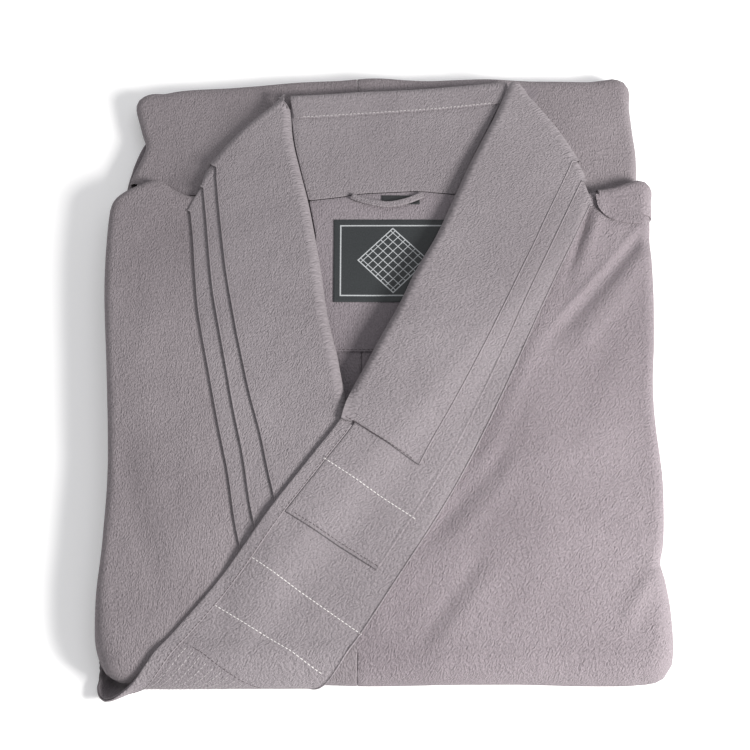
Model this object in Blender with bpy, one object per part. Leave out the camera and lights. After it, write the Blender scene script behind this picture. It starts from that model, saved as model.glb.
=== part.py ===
"""Folded wrap-over robe with a broad three-layer collar, lying on a flat surface.

The pile is built the way it is folded. Two hidden folds of cloth lie at the bottom, and the outside
of the back shows beyond the collar. Above them lie the chest and shoulders: the inside of the back in
the neck opening, the right front, and the left front over it, each with its stepped collar.
Every cloth piece is a thin wall that follows the rounded top and sides of the pile.

Plan sizes and heights are in millimetres, +Y towards the collar, and MM turns them into metres.
Right and left are the wearer's, so the right front is on the viewer's left.
"""

import math

import bmesh
import bpy
import numpy as np

MM = 0.001

# The plan points below were laid out from the middle of the neck. This is the middle of the pile.
ORIGIN = np.array([3.96, 8.19])

# Cloth walls, and the gap left between two pieces that lie on each other
CLOTH = 1.2
GAP = 0.3
STEP = CLOTH + GAP

# Heights of the pile
EDGE_HEIGHT = 36.0
CROWN = 6.0
CROWN_REACH = 90.0
LOWER_HEIGHT = 22.4
LOWER_CROWN = 3.4
NECK_DEPTH = 28.0
NECK_RISE = 4.4
CORE_INSET = 0.4
CORE_DROP = 3.4
LOWER_FOLD = {"bottom": 0.0, "radius": 5.6, "top": 11.4}
UPPER_FOLD = {"bottom": 11.1, "radius": 5.4, "under_back": 1.4}
CUTTER_TOP = 60.0
PAD_BEVEL = 1.8

# Spacing of the stations round the pile, and the angles of its rounded edge in degrees
STATION = 13.5
ROLL_STEPS = (0.2, 0.4, 0.6, 0.8, 1.0)
ROLL_REACH = 150.0
SHOULDER_REACH = 108.0

# Collar: radius of its fold, and the widths of the middle and top layers as shares of the whole
COLLAR_FOLD = 2.0
COLLAR_LIFTS = {"base": STEP, "middle": 2 * STEP, "top": 3 * STEP}
COLLAR_STACK = 3 * STEP + CLOTH
MIDDLE_SHARE = 0.853
TOP_SHARE = 0.716
TOP_SHARE_AT_END = 0.655
BINDING_WIDTH = 10.0

# Columns of a collar, counted 0 at its inner edge, 1 at the binding, 2 at the top layer's edge,
# 3 at the middle layer's edge and 4 at the outer edge, and the columns that each layer covers
COLLAR_COLUMNS = np.array([0, 1, 1.33, 1.67, 2, 2.5, 3, 3.5, 4])
LAYER_COLUMNS = {"base": (0, 9), "middle": (1, 7), "top": (0, 5)}

# The middle between the collar's two turns, and how far from it they begin
COLLAR_MIDDLE_X = 19.0
COLLAR_HALF_GAP = 98.0

# Visible outline of the chest part, anticlockwise from the collar's right shoulder: x, y, roll radius
FRONT_OUTLINE = [
    (-143, 143, 6.5), (-151, 146, 6.5), (-161, 154, 6.5), (-169, 156, 6.5), (-178, 153, 6.5),
    (-187, 148, 6.5), (-197, 143, 6.5), (-202, 128, 6.5), (-203, 100, 6.5), (-202, 60, 6.5),
    (-198, 15, 6.5), (-193, -45, 6.5), (-191, -90, 6.5), (-192, -134, 6.5), (-194, -165, 8.0),
    (-194, -190, 11.0), (-191, -212, 14.5), (-178, -227, 16.3), (-150, -229, 16.3), (-110, -229, 16.3),
    (-70, -229, 16.5), (-40, -229, 17.0), (0, -230, 17.0), (50, -229, 17.0), (100, -229, 17.0),
    (150, -230, 17.0), (185, -229, 17.0), (202, -222, 16.0), (206, -205, 14.0), (206, -187, 12.0),
    (204, -166, 9.5), (200, -148, 8.0), (203, -130, 6.5), (205, -100, 6.5), (205, -78, 6.5),
    (203, -45, 6.5), (203, -10, 6.5), (206, 23, 6.5), (208, 60, 6.5), (208, 100, 6.5),
    (209, 130, 6.5), (209, 150, 6.5), (202, 155, 6.5), (189, 151, 6.5), (168, 146, 6.5),
    (100, 143, 6.5), (0, 142, 6.5), (-90, 142, 6.5),
]

# Outline of the back where it shows beyond the collar, round from the viewer's right: x, y, roll radius
BACK_OUTLINE = [
    (203, 120, 5.4), (203, 165, 5.4), (204, 181, 5.4), (202, 210, 5.4), (201, 231, 6.5),
    (202, 247, 9.0), (193, 256, 10.3), (170, 254, 10.3), (141, 255, 10.3), (98, 257, 10.3),
    (44, 255, 10.3), (2, 257, 10.3), (-29, 255, 10.3), (-62, 253, 10.3), (-103, 249, 10.3),
    (-147, 246, 10.3), (-171, 242, 10.3), (-184, 240, 9.0), (-189, 230, 7.0), (-184, 209, 5.4),
    (-179, 191, 5.4), (-184, 176, 5.4), (-190, 158, 5.4), (-192, 120, 5.4), (-190, 40, 5.4),
    (-188, -60, 5.4), (190, -60, 5.4), (201, 40, 5.4),
]
BACK_SEAM_X = -13.5
INSIDE_SEAM_X = -10.0

# Where the back goes under the chest part: x, y
BACK_TUCK = [
    (196, 154), (189, 150.5), (165, 146), (100, 142.5), (0, 142), (-140, 143), (-150, 147),
    (-161, 153.5), (-170, 155), (-182, 150), (-183, 147),
]

# Rounded edges of the two hidden folds under the chest part: x, y
FOLD_UPPER = [
    (-184, 150), (-178, 174), (-172, 191), (-176, 209), (-180, 226), (-170, 234), (-103, 241),
    (0, 248), (98, 248), (170, 246), (187, 245), (195, 233), (197, 180), (199, 100),
    (200, 0), (199, -80), (190, -130), (179, -175), (160, -205), (100, -219), (0, -220),
    (-100, -217), (-155, -203), (-176, -175), (-184, -130), (-186, -60), (-186, 40),
]
FOLD_LOWER = [
    (-195, 150), (-187, 190), (-175, 212), (-160, 226), (-103, 235), (0, 242), (98, 242),
    (172, 239), (188, 230), (199, 205), (205, 100), (204, 0), (199, -80), (187, -130),
    (174, -175), (150, -197), (100, -207), (0, -208), (-100, -206), (-145, -195),
    (-168, -170), (-183, -130), (-193, -60), (-197, 40),
]

# The collar on the wearer's right: rows across it, from its turn beside the neck down to its hidden end
RIGHT_ROWS = [
    {"inner": (-67, 231), "outer": (-142, 140)},
    {"inner": (-63, 190), "outer": (-137, 104)},
    {"inner": (-57, 162), "outer": (-134, 74)},
    {"inner": (-50, 132), "outer": (-130, 40)},
    {"inner": (-42, 87), "outer": (-121, -5)},
    {"inner": (-35, 40), "outer": (-112, -49)},
    {"inner": (-27, 4), "outer": (-104, -85)},
    {"inner": (-20, -32), "outer": (-98, -121)},
    {"inner": (-13, -66), "outer": (-90, -155)},
]
RIGHT_TURN_BOW = 8.0

# The collar on the wearer's left, down to where it wraps round the corner of the pile
LEFT_ROWS = [
    {"inner": (108, 241), "outer": (168, 140)},
    {"inner": (92, 208), "outer": (158, 119)},
    {"inner": (72, 165), "outer": (148, 97)},
    {"inner": (61, 135), "outer": (138, 76)},
    {"inner": (40, 90), "outer": (119, 35)},
    {"inner": (22, 48), "outer": (102, -3)},
    {"inner": (-2, 1), "outer": (80, -50)},
    {"inner": (-21, -40), "outer": (59, -91)},
    {"inner": (-46, -75), "outer": (38, -126)},
    {"inner": (-71, -109), "outer": (14, -163)},
    {"inner": (-105, -158), "outer": (-19, -212)},
    {"inner": (-134, -193), "outer": (-49, -246)},
    {"inner": (-155, -217), "outer": (-78, -256)},
    {"inner": (-167, -230), "outer": (-118, -257)},
    {"inner": (-178, -235), "outer": (-150, -256)},
    {"inner": (-190, -234), "outer": (-178, -252)},
    {"inner": (-200, -227), "outer": (-197, -243)},
    {"inner": (-205, -216), "outer": (-209, -229)},
]
LEFT_TURN_BOW = 6.0

# Rows where the left collar's top and middle layers end, and where its inner edge stops being rolled
TOP_END_ROW = 7.15
MIDDLE_END_ROW = 9.0
LEFT_ROLLED_ROW = 6.5

# Where the left collar leaves the neck's edge, and its slack where it goes over the low edge
LEFT_ON_CHEST_Y = -30.0
ROLL_SLACK = 1.6
ROLL_SLACK_Y = -200.0

# The loop that the free edge makes as it goes round the corner of the pile
CORNER_LOOP = {"x": -187.0, "y": -234.0, "spread": 10.0, "lift": 12.0}

# Where the two fronts end under the left collar, and the seam that shows below it
RIGHT_FRONT_END = [
    (-78, 134), (-70, 90), (-62, 40), (-50, -10), (-40, -60), (-46, -130), (-76, -176), (-105, -212),
]
LEFT_FRONT_END = [
    (122, 134), (109, 98), (88, 56), (70, 17), (48, -31), (28, -72), (6, -107), (-11.85, -138),
]
PANEL_SEAM_X = -12.0
PANEL_END = [(-12.15, -141), (-50, -188), (-74, -212)]

# The sleeve head turned over the left shoulder: its free edge, x, y
SLEEVE_EDGE = [(168, 139), (170, 127), (178, 120), (189, 117), (200, 117), (204, 119)]

# The inside of the back, seen in the neck opening
NECK_SEAM = [(-50, 137), (-27, 140), (-13, 142.5), (11, 144), (34, 145), (50, 143.5), (62, 142)]
COLLAR_TOP_EDGE = [
    (-150, 226), (-100, 227), (-61, 228), (-43, 229), (-13, 231), (20, 233), (59, 236), (98, 240),
    (130, 243), (180, 246), (180, -150), (-150, -150),
]
COLLAR_TOP_FOLD = 3.0
COLLAR_BACK_REACH = 110.0
COLLAR_HEM_REACH = 100.0
HEM_WIDTH = 19.5
FACING_EDGE_Y = 14.0
NECK_END_Y = -72.0

# The hollow in the hidden layers under the neck opening, from the crossing up
NECK_HOLLOW = [
    {"y": -82, "left": -38, "right": 4},
    {"y": -20, "left": -40, "right": 10},
    {"y": 40, "left": -52, "right": 38},
    {"y": 100, "left": -62, "right": 62},
    {"y": 166, "left": -74, "right": 98},
]
COLLAR_PAD = [
    (-78, 124), (-78, 150), (-94, 160), (-80, 184), (-58, 206), (0, 216), (60, 219), (94, 216),
    (114, 186), (122, 166), (106, 150), (106, 124),
]
PAD_HEIGHTS = (27.7, 31.5)

# Labels and hanger loop on the inside of the back
LABEL = {"left": -31.0, "right": 58.0, "low": 53.0, "high": 120.5}
SIZE_LABEL = {"left": 5.0, "right": 34.0, "low": 133.5, "high": 141.0}
LABEL_THICKNESS = 0.6
LOOP_PATH = [(-18, 140), (-11, 136.5), (0, 133), (11, 131.6), (23, 134.4), (31, 138), (36.5, 141)]
LOOP_WIDTH = 5.0
LOOP_THICKNESS = 1.8
LOOP_RISE = 2.2

# Soft drag folds on the fronts: ends, half width and height of each ridge or trough
DRAG_FOLDS = [
    {"start": (206, 126), "end": (128, 18), "half_width": 7.0, "height": 2.2},
    {"start": (206, 104), "end": (138, 4), "half_width": 9.0, "height": -2.6},
    {"start": (148, 8), "end": (84, -108), "half_width": 8.0, "height": 1.3},
    {"start": (130, -46), "end": (92, -130), "half_width": 8.0, "height": -1.4},
    {"start": (112, -120), "end": (52, -186), "half_width": 9.0, "height": 1.6},
    {"start": (104, -142), "end": (58, -196), "half_width": 7.0, "height": -1.6},
    {"start": (196, -40), "end": (140, -110), "half_width": 14.0, "height": 1.4},
    {"start": (196, -150), "end": (168, -196), "half_width": 6.0, "height": 2.4},
    {"start": (-176, 40), "end": (-160, -120), "half_width": 14.0, "height": 1.2},
    {"start": (-182, -60), "end": (-150, -170), "half_width": 10.0, "height": -1.2},
]


# Plan and height functions

def eased(value):
    """Smooth step from 0 to 1."""
    share = np.clip(value, 0.0, 1.0)
    return share * share * (3.0 - 2.0 * share)


def lengths(line):
    """Distance along a line at each of its points."""
    return np.concatenate([[0], np.cumsum(np.linalg.norm(np.diff(line[:, :2], axis=0), axis=1))])


def at(line, shares):
    """Points of a line at these shares of its length."""
    along = lengths(line)
    return np.column_stack([np.interp(np.asarray(shares) * along[-1], along, c) for c in line.T])


def refined(line):
    """A line with a point added in the middle of each of its stretches."""
    middles = (line[:-1] + line[1:]) / 2
    return np.insert(line, np.arange(1, len(line)), middles, axis=0)


def smooth_line(points, closed=False, step=STATION):
    """Evenly spaced points on a Catmull-Rom curve through the given ones; more columns follow along."""
    given = np.array(points, float)
    if closed:
        given = np.vstack([given[-1], given, given[0], given[1]])
    else:
        given = np.vstack([2 * given[0] - given[1], given, 2 * given[-1] - given[-2]])
    share = np.linspace(0, 1, 24, endpoint=False)[:, None]
    stretches = [
        0.5 * (2 * start + (end - before) * share
               + (2 * before - 5 * start + 4 * end - after) * share**2
               + (3 * start - before - 3 * end + after) * share**3)
        for before, start, end, after in zip(given, given[1:], given[2:], given[3:])
    ]
    dense = np.vstack(stretches + [given[-2][None]])
    count = max(4, int(lengths(dense)[-1] / step))
    return at(dense, np.linspace(0, 1, count, endpoint=not closed))


def ridge(x, y, fold):
    """Height of one soft fold over the plan."""
    start, end = np.array(fold["start"], float), np.array(fold["end"], float)
    run = end - start
    length = np.hypot(*run)
    along = ((x - start[0]) * run[0] + (y - start[1]) * run[1]) / length
    aside = ((x - start[0]) * run[1] - (y - start[1]) * run[0]) / length
    inside = eased(along / 30.0 + 0.4) * eased((length - along) / 45.0 + 0.3)
    return fold["height"] * inside * np.exp(-((aside / fold["half_width"]) ** 2))


def chest_base(x, y):
    """Height of the chest part without its drag folds: a low crown that falls away beside the neck."""
    crown = (
        eased((x + 195) / CROWN_REACH) * eased((198 - x) / CROWN_REACH)
        * eased((y + 212) / CROWN_REACH) * eased((150 - y) / CROWN_REACH)
    )
    return EDGE_HEIGHT + CROWN * crown - 3.2 * eased((y - 140) / 90)


def chest_top(x, y):
    """Height of the cloth under the fronts and the collar."""
    return chest_base(x, y) + sum(ridge(x, y, fold) for fold in DRAG_FOLDS)


def lower_top(x, y):
    """Height of the back where it shows beyond the collar."""
    crown = eased((x + 186) / 70) * eased((198 - x) / 70) * eased((247 - y) / 60)
    return LOWER_HEIGHT + LOWER_CROWN * crown


def neck_floor(x, y):
    """Height of the inside of the back in the neck opening, lowest where the fronts cross."""
    return NECK_DEPTH + NECK_RISE * eased((y + 35) / 175) + 0.6 * eased((y - 140) / 80)


RIGHT_INNER = np.array([row["inner"] for row in RIGHT_ROWS], float)
RIGHT_OUTER = np.array([row["outer"] for row in RIGHT_ROWS], float)
LEFT_INNER = np.array([row["inner"] for row in LEFT_ROWS], float)
LEFT_OUTER = np.array([row["outer"] for row in LEFT_ROWS], float)


def over_right_collar(x, y):
    """How much the left collar is raised where it crosses the right one, layer by layer."""
    inner = np.interp(y, RIGHT_INNER[::-1, 1], RIGHT_INNER[::-1, 0])
    outer = np.interp(y, RIGHT_OUTER[::-1, 1], RIGHT_OUTER[::-1, 0])
    across = (inner - x) / (inner - outer)
    raised = np.clip(4.9 - 10.5 * (across - TOP_SHARE), 0.0, 4.9)
    start, end = RIGHT_INNER[-1], RIGHT_OUTER[-1]
    run = (end - start) / np.linalg.norm(end - start)
    past = (y - start[1]) * run[0] - (x - start[0]) * run[1]
    return raised * (1 - eased((past - 9.0) / 34.0))


def left_top(x, y):
    """Height of the cloth under the left collar."""
    return chest_top(x, y) + over_right_collar(x, y)


# Laying cloth on a rounded pile

class Skin:
    """The outside of a folded pile: a top surface inside the roll line, and a round edge outside it."""

    def __init__(self, outline, top, stack=CLOTH):
        edge = smooth_line(outline, closed=True)
        ahead = np.roll(edge[:, :2], -1, axis=0) - np.roll(edge[:, :2], 1, axis=0)
        self.outward = np.column_stack([ahead[:, 1], -ahead[:, 0]])
        self.outward /= np.linalg.norm(self.outward, axis=1)[:, None]
        self.radius = edge[:, 2]
        self.line = edge[:, :2] - self.outward * (self.radius + stack)[:, None]
        self.edge = edge[:, :2]
        self.top = top

    def run(self, start, end):
        """Numbers of the stations from the one nearest to start, anticlockwise, to the one nearest to end."""
        first = int(np.argmin(np.linalg.norm(self.edge - np.array(start), axis=1)))
        last = int(np.argmin(np.linalg.norm(self.edge - np.array(end), axis=1)))
        count = (last - first) % len(self.line)
        return [(first + k) % len(self.line) for k in range(count + 1)]

    def nearest(self, points):
        """For each plan point: its foot on the roll line, direction, distance outside and radius there."""
        start, run = self.line, np.roll(self.line, -1, axis=0) - self.line
        share = ((points[:, None] - start) * run).sum(2) / (run**2).sum(1)
        share = np.clip(share, 0, 1)
        feet = start + share[..., None] * run
        gaps = np.linalg.norm(points[:, None] - feet, axis=2)
        k = gaps.argmin(1)
        row = np.arange(len(points))
        s = share[row, k][:, None]
        away = self.outward[k] * (1 - s) + np.roll(self.outward, -1, axis=0)[k] * s
        away /= np.linalg.norm(away, axis=1)[:, None]
        foot, gap = feet[row, k], gaps[row, k]
        offset = points - foot
        outside = (offset * away).sum(1) > 0
        clear = outside & (gap > 0.5)
        away[clear] = offset[clear] / gap[clear][:, None]
        radius = self.radius[k] * (1 - s[:, 0]) + np.roll(self.radius, -1)[k] * s[:, 0]
        return foot, away, np.where(outside, gap, 0.0), radius

    def place(self, plan, lift):
        """Plan points laid on the skin and lifted off it along its normal."""
        shape = np.shape(plan)[:-1]
        points = np.reshape(plan, (-1, 2)).astype(float)
        lift = np.broadcast_to(lift, shape).reshape(-1)
        foot, away, beyond, radius = self.nearest(points)
        turn = np.minimum(beyond / radius, math.pi)
        out = (radius + lift) * np.sin(turn)
        height = self.top(foot[:, 0], foot[:, 1]) - radius + (radius + lift) * np.cos(turn)
        rolled = np.column_stack([foot + away * out[:, None], height])
        flat = np.column_stack([points, self.top(points[:, 0], points[:, 1]) + lift])
        placed = np.where((beyond > 0)[:, None], rolled, flat)
        return placed.reshape(*shape, 3)


class Pattern:
    """A cloth piece in plan: a grid of points, with skirts that carry on round the pile's edge."""

    def __init__(self, grid):
        rows, columns = grid.shape[:2]
        self.points = list(grid.reshape(-1, 2))
        self.index = np.arange(rows * columns).reshape(rows, columns)
        self.faces = [
            (self.index[r, c], self.index[r, c + 1], self.index[r + 1, c + 1], self.index[r + 1, c])
            for r in range(rows - 1) for c in range(columns - 1)
        ]

    def skirt(self, border, skin, reach):
        """Carries the piece on from these border points, on the roll line, round the edge by reach degrees."""
        foot, away, _, radius = skin.nearest(np.array([self.points[i] for i in border]))
        turn = np.radians(reach(foot[:, 0], foot[:, 1]))
        previous = list(border)
        for share in ROLL_STEPS:
            first = len(self.points)
            self.points += list(foot + away * (radius * turn * share)[:, None])
            ring = list(range(first, len(self.points)))
            self.faces += [
                (previous[i], previous[i + 1], ring[i + 1], ring[i]) for i in range(len(ring) - 1)
            ]
            previous = ring


def patch(left, right, low, high):
    """A grid between four borders. Left and right run from low to high, the others from left to right."""
    u = np.linspace(0, 1, len(low))[None, :, None]
    v = np.linspace(0, 1, len(left))[:, None, None]
    ruled = left[:, None] * (1 - u) + right[:, None] * u + low[None] * (1 - v) + high[None] * v
    corners = (
        low[0] * (1 - u) * (1 - v) + low[-1] * u * (1 - v)
        + high[0] * (1 - u) * v + high[-1] * u * v
    )
    return ruled - corners


def finish(name, verts, faces, material, smooth_angle=35.0):
    """Makes the object, facing out, from points in millimetres."""
    mesh = bpy.data.meshes.new(name)
    verts = np.asarray(verts, float) - np.array([*ORIGIN, 0.0])
    mesh.from_pydata([tuple(v * MM) for v in verts], [], [tuple(int(i) for i in f) for f in faces])
    shell = bmesh.new()
    shell.from_mesh(mesh)
    bmesh.ops.recalc_face_normals(shell, faces=shell.faces)
    bmesh.ops.triangulate(shell, faces=shell.faces)
    shell.to_mesh(mesh)
    shell.free()
    mesh.shade_smooth()
    mesh.set_sharp_from_angle(angle=math.radians(smooth_angle))
    obj = bpy.data.objects.new(name, mesh)
    obj.data.materials.append(material)
    bpy.context.scene.collection.objects.link(obj)
    return obj


def wall(name, pattern, inside, outside, material):
    """A cloth piece: the pattern's points on two surfaces, closed round its border."""
    inside, outside = inside.reshape(-1, 3), outside.reshape(-1, 3)
    count = len(inside)
    faces = [tuple(reversed(f)) for f in pattern.faces]
    faces += [tuple(i + count for i in f) for f in pattern.faces]
    edges = {}
    for face in pattern.faces:
        for a, b in zip(face, face[1:] + face[:1]):
            key = (min(a, b), max(a, b))
            edges[key] = None if key in edges else (a, b)
    faces += [(e[0], e[1], e[1] + count, e[0] + count) for e in edges.values() if e]
    return finish(name, np.vstack([inside, outside]), faces, material)


def laid(name, pattern, skin, lift, material, thick=CLOTH):
    """A cloth piece laid on a skin, at a lift that is a number or a function of the plan."""
    plan = np.array(pattern.points)
    up = lift(plan[:, 0], plan[:, 1]) if callable(lift) else lift
    return wall(name, pattern, skin.place(plan, up), skin.place(plan, up + thick), material)


def tube_of_rings(name, rings, tip, material):
    """A closed solid from rings of points: a flat cap on the first, and a tip over the last, or a cap."""
    count = len(rings[0])
    verts = np.vstack(rings + ([tip] if tip is not None else []))
    faces = [tuple(range(count))]
    for ring in range(len(rings) - 1):
        low, high = ring * count, (ring + 1) * count
        faces += [
            (low + i, low + (i + 1) % count, high + (i + 1) % count, high + i) for i in range(count)
        ]
    last = (len(rings) - 1) * count
    if tip is None:
        faces.append(tuple(range(last, last + count)))
    else:
        faces += [(last + i, last + (i + 1) % count, last + count) for i in range(count)]
    return finish(name, verts, faces, material)


def cloth_material(name, colour, roughness):
    """A plain finish in linear colour."""
    material = bpy.data.materials.new(name)
    material.use_nodes = True
    shader = material.node_tree.nodes["Principled BSDF"]
    shader.inputs["Base Color"].default_value = (*colour, 1.0)
    shader.inputs["Roughness"].default_value = roughness
    return material


# The folded layers inside

def boolean(obj, other, operation):
    """Joins or cuts with another object, which is then removed."""
    change = obj.modifiers.new(operation.title(), "BOOLEAN")
    change.operation = operation
    change.solver = "EXACT"
    change.object = other
    bpy.context.view_layer.update()
    evaluated = obj.evaluated_get(bpy.context.evaluated_depsgraph_get())
    mesh = bpy.data.meshes.new_from_object(evaluated)
    obj.modifiers.clear()
    obj.data = mesh
    bpy.data.objects.remove(other)


def hidden_fold(name, outline, fold, top, material):
    """One hidden fold of cloth: a slab with a half-round edge all round."""
    edge = smooth_line(outline, closed=True, step=34.0)
    ahead = np.roll(edge, -1, axis=0) - np.roll(edge, 1, axis=0)
    outward = np.column_stack([ahead[:, 1], -ahead[:, 0]])
    outward /= np.linalg.norm(outward, axis=1)[:, None]
    if ((edge - edge.mean(0)) * outward).sum() < 0:
        outward = -outward
    radius = fold["radius"]
    line = edge - outward * radius
    rings = []
    for turn in np.radians([180, 135, 90, 45, 0]):
        spot = line + outward * radius * math.sin(turn)
        height = np.full(len(edge), fold["bottom"] + radius * (1 + math.cos(turn)))
        rings.append(np.column_stack([spot, height]))
    centre = line.mean(0)
    for share in (0.8, 0.4):
        spot = centre + (line - centre) * share
        rings.append(np.column_stack([spot, np.zeros(len(spot)) + top(spot[:, 0], spot[:, 1])]))
    return tube_of_rings(name, rings, [*centre, top(*centre)], material)


def chest_fold(chest, material):
    """The fold between the lower ones and the fronts, just inside their skin."""
    rings = []
    for share in (1.1, *ROLL_STEPS[::-1], 0.0):
        turn = math.radians(share * ROLL_REACH)
        plan = chest.line + chest.outward * (chest.radius * turn)[:, None]
        rings.append(chest.place(plan, -CORE_INSET))
    rings[-1][:, 2] -= 0.6
    centre = chest.line.mean(0)
    for share in (0.95, 0.55):
        spot = centre + (chest.line - centre) * share
        height = chest_base(spot[:, 0], spot[:, 1]) - CORE_DROP
        rings.append(np.column_stack([spot, height]))
    tip = [*centre, chest_base(*centre) - CORE_DROP]
    return tube_of_rings("chest_fold", rings, tip, material)


def neck_cutter(material):
    """The hollow's cutter, from just under the inside of the back to above everything."""
    rows = np.array([[side["y"], side["left"], side["right"]] for side in NECK_HOLLOW], float)
    heights = np.linspace(rows[0, 0], rows[-1, 0], 9)
    left = np.column_stack([np.interp(heights, rows[:, 0], rows[:, 1]), heights])
    right = np.column_stack([np.interp(heights, rows[:, 0], rows[:, 2]), heights])
    share = np.linspace(0, 1, 4)[None, :, None]
    pattern = Pattern(left[:, None] * (1 - share) + right[:, None] * share)
    plan = np.array(pattern.points)
    floor = np.column_stack([plan, neck_floor(plan[:, 0], plan[:, 1]) - 0.5])
    lid = np.column_stack([plan, np.full(len(plan), CUTTER_TOP)])
    return wall("neck_cutter", pattern, floor, lid, material)


def collar_pad(material):
    """The collar's turned-under layers, between the back and the part of the collar that shows."""
    edge = smooth_line(COLLAR_PAD, closed=True, step=18.0)
    centre = edge.mean(0)
    bottom, top = PAD_HEIGHTS
    rings = [
        np.column_stack([centre + (edge - centre) * share, np.full(len(edge), height)])
        for share, height in (
            (0.95, bottom), (1.0, bottom + PAD_BEVEL), (1.0, top - PAD_BEVEL), (0.95, top),
        )
    ]
    return tube_of_rings("collar_pad", rings, None, material)


def folded_layers(chest, material):
    """The rest of the robe, folded inside, as one solid with layered edges and a hollow at the neck."""

    def under_back(x, y):
        return lower_top(x, y) - UPPER_FOLD["under_back"]

    core = hidden_fold("folded_layers", FOLD_LOWER, LOWER_FOLD, lambda x, y: LOWER_FOLD["top"], material)
    upper = hidden_fold("upper_fold", FOLD_UPPER, UPPER_FOLD, under_back, material)
    boolean(core, upper, "UNION")
    boolean(core, chest_fold(chest, material), "UNION")
    boolean(core, neck_cutter(material), "DIFFERENCE")
    boolean(core, collar_pad(material), "UNION")


# The cloth that shows

def side_reach(x, y):
    """How far round the pile's edge the fronts go: less at the shoulders, where they lie on the back."""
    return ROLL_REACH + (SHOULDER_REACH - ROLL_REACH) * eased((y - 118) / 14)


def front_right(chest, material):
    """The right front, from the shoulder round the side and the corner, and on under both collars."""
    high = chest.line[chest.run((-86, 142), (-196, 145))][::-1]
    side = chest.line[chest.run((-196, 145), (-165, -229))]
    low = chest.line[chest.run((-165, -229), (-105, -229))]
    low = at(low, np.linspace(0, 1, len(high)))
    end = at(smooth_line(RIGHT_FRONT_END, step=4.0), np.linspace(0, 1, len(side)))
    end[0], end[-1] = high[-1], low[-1]
    pattern = Pattern(patch(side, end, high, low))
    index = pattern.index
    border = list(index[0, ::-1]) + list(index[1:, 0]) + list(index[-1, 1:])
    pattern.skirt(border, chest, side_reach)
    laid("front_right", pattern, chest, 0.0, material)


def front_left(chest, material):
    """The left front, from under its collar round the side."""
    low = chest.line[chest.run((PANEL_SEAM_X, -230), (172, -230))]
    side = chest.line[chest.run((172, -230), (186, 150))][::-1]
    high = refined(chest.line[chest.run((186, 150), (122, 142))])[::-1]
    low = at(low, np.linspace(0, 1, len(high)))
    low[0, 0] = PANEL_SEAM_X + GAP / 2
    seam = np.array([LEFT_FRONT_END[-1], low[0]])
    end = np.vstack([smooth_line(LEFT_FRONT_END, step=4.0), seam[1:]])
    end = at(end, np.linspace(0, 1, len(side)))
    end[0], end[-1] = high[0], low[0]
    pattern = Pattern(patch(end, side, high, low))
    index = pattern.index
    border = list(index[0, :-1]) + list(index[:-1, -1]) + list(index[-1, ::-1])
    pattern.skirt(border, chest, side_reach)
    laid("front_left", pattern, chest, 0.0, material)


def front_left_panel(chest, material):
    """The narrow panel sewn on between the left front and its collar."""
    foot, _, _, _ = chest.nearest(np.array([(PANEL_SEAM_X - GAP / 2, -215), (-74, -215)], float))
    tip = np.array(PANEL_END[0], float)
    shares = np.linspace(0, 0.97, 9)
    slope = at(np.array([foot[1], PANEL_END[1], tip]), shares)
    straight = foot[0] + (tip - foot[0]) * shares[:, None]
    across = np.linspace(0, 1, 6)[None, :, None]
    pattern = Pattern(slope[:, None] * (1 - across) + straight[:, None] * across)
    pattern.skirt(list(pattern.index[0]), chest, side_reach)
    laid("front_left_panel", pattern, chest, 0.0, material)


def sleeve_left(chest, material):
    """The head of the left sleeve, turned forward over the shoulder."""
    high = refined(chest.line[chest.run((186, 150), (168, 146))])[::-1]
    side = chest.line[chest.run((209, 124), (186, 150))][::-1]
    edge = smooth_line([*SLEEVE_EDGE[:-1], tuple(side[-1])], step=4.0)
    low = at(edge, np.linspace(0, 1, len(high)))
    left = at(np.array([high[0], low[0]]), np.linspace(0, 1, len(side)))
    pattern = Pattern(patch(left, side, high, low))
    index = pattern.index
    pattern.skirt(list(index[0, :-1]) + list(index[:, -1]), chest, side_reach)
    laid("sleeve_left", pattern, chest, STEP, material)


def backs(back, material):
    """The two halves of the back, where they show beyond the collar, with the seam between them."""
    tuck = smooth_line(BACK_TUCK, step=4.0)
    for name, side, columns in (("back_left", 1, 14), ("back_right", -1, 12)):
        seam = BACK_SEAM_X + side * GAP / 2
        if side > 0:
            high = back.line[back.run((202, 250), (seam, 255))]
            end = back.line[back.run((203, 155), (202, 250))]
        else:
            high = back.line[back.run((seam, 255), (-187, 236))][::-1]
            end = back.line[back.run((-187, 236), (-188, 158))][::-1]
        high = at(high, np.linspace(0, 1, columns))
        high[-1, 0] = seam
        low = tuck[(tuck[:, 0] - seam) * side > 0]
        low = at(low if side > 0 else low[::-1], np.linspace(0, 1, columns))
        low[-1, 0] = seam
        low[0] = end[0]
        seam_line = at(np.array([low[-1], high[-1]]), np.linspace(0, 1, len(end)))
        pattern = Pattern(patch(end, seam_line, low, high))
        index = pattern.index
        border = list(index[:, 0]) + list(index[-1, 1:])
        pattern.skirt(border, back, lambda x, y: ROLL_REACH)
        laid(name, pattern, back, 0.0, material)


# Collars

def turn_points(rows, shares):
    """Points along a collar's turn, which bows out a little beyond the straight."""
    start, end = np.array(rows[0]["inner"], float), np.array(rows[0]["outer"], float)
    run = end - start
    aside = np.array([-run[1], run[0]]) / np.hypot(*run)
    aside *= np.sign(aside[1])
    bow = RIGHT_TURN_BOW if run[0] < 0 else LEFT_TURN_BOW
    s = np.asarray(shares)[:, None]
    return start + run * s + aside * bow * 4 * s * (1 - s)


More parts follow.
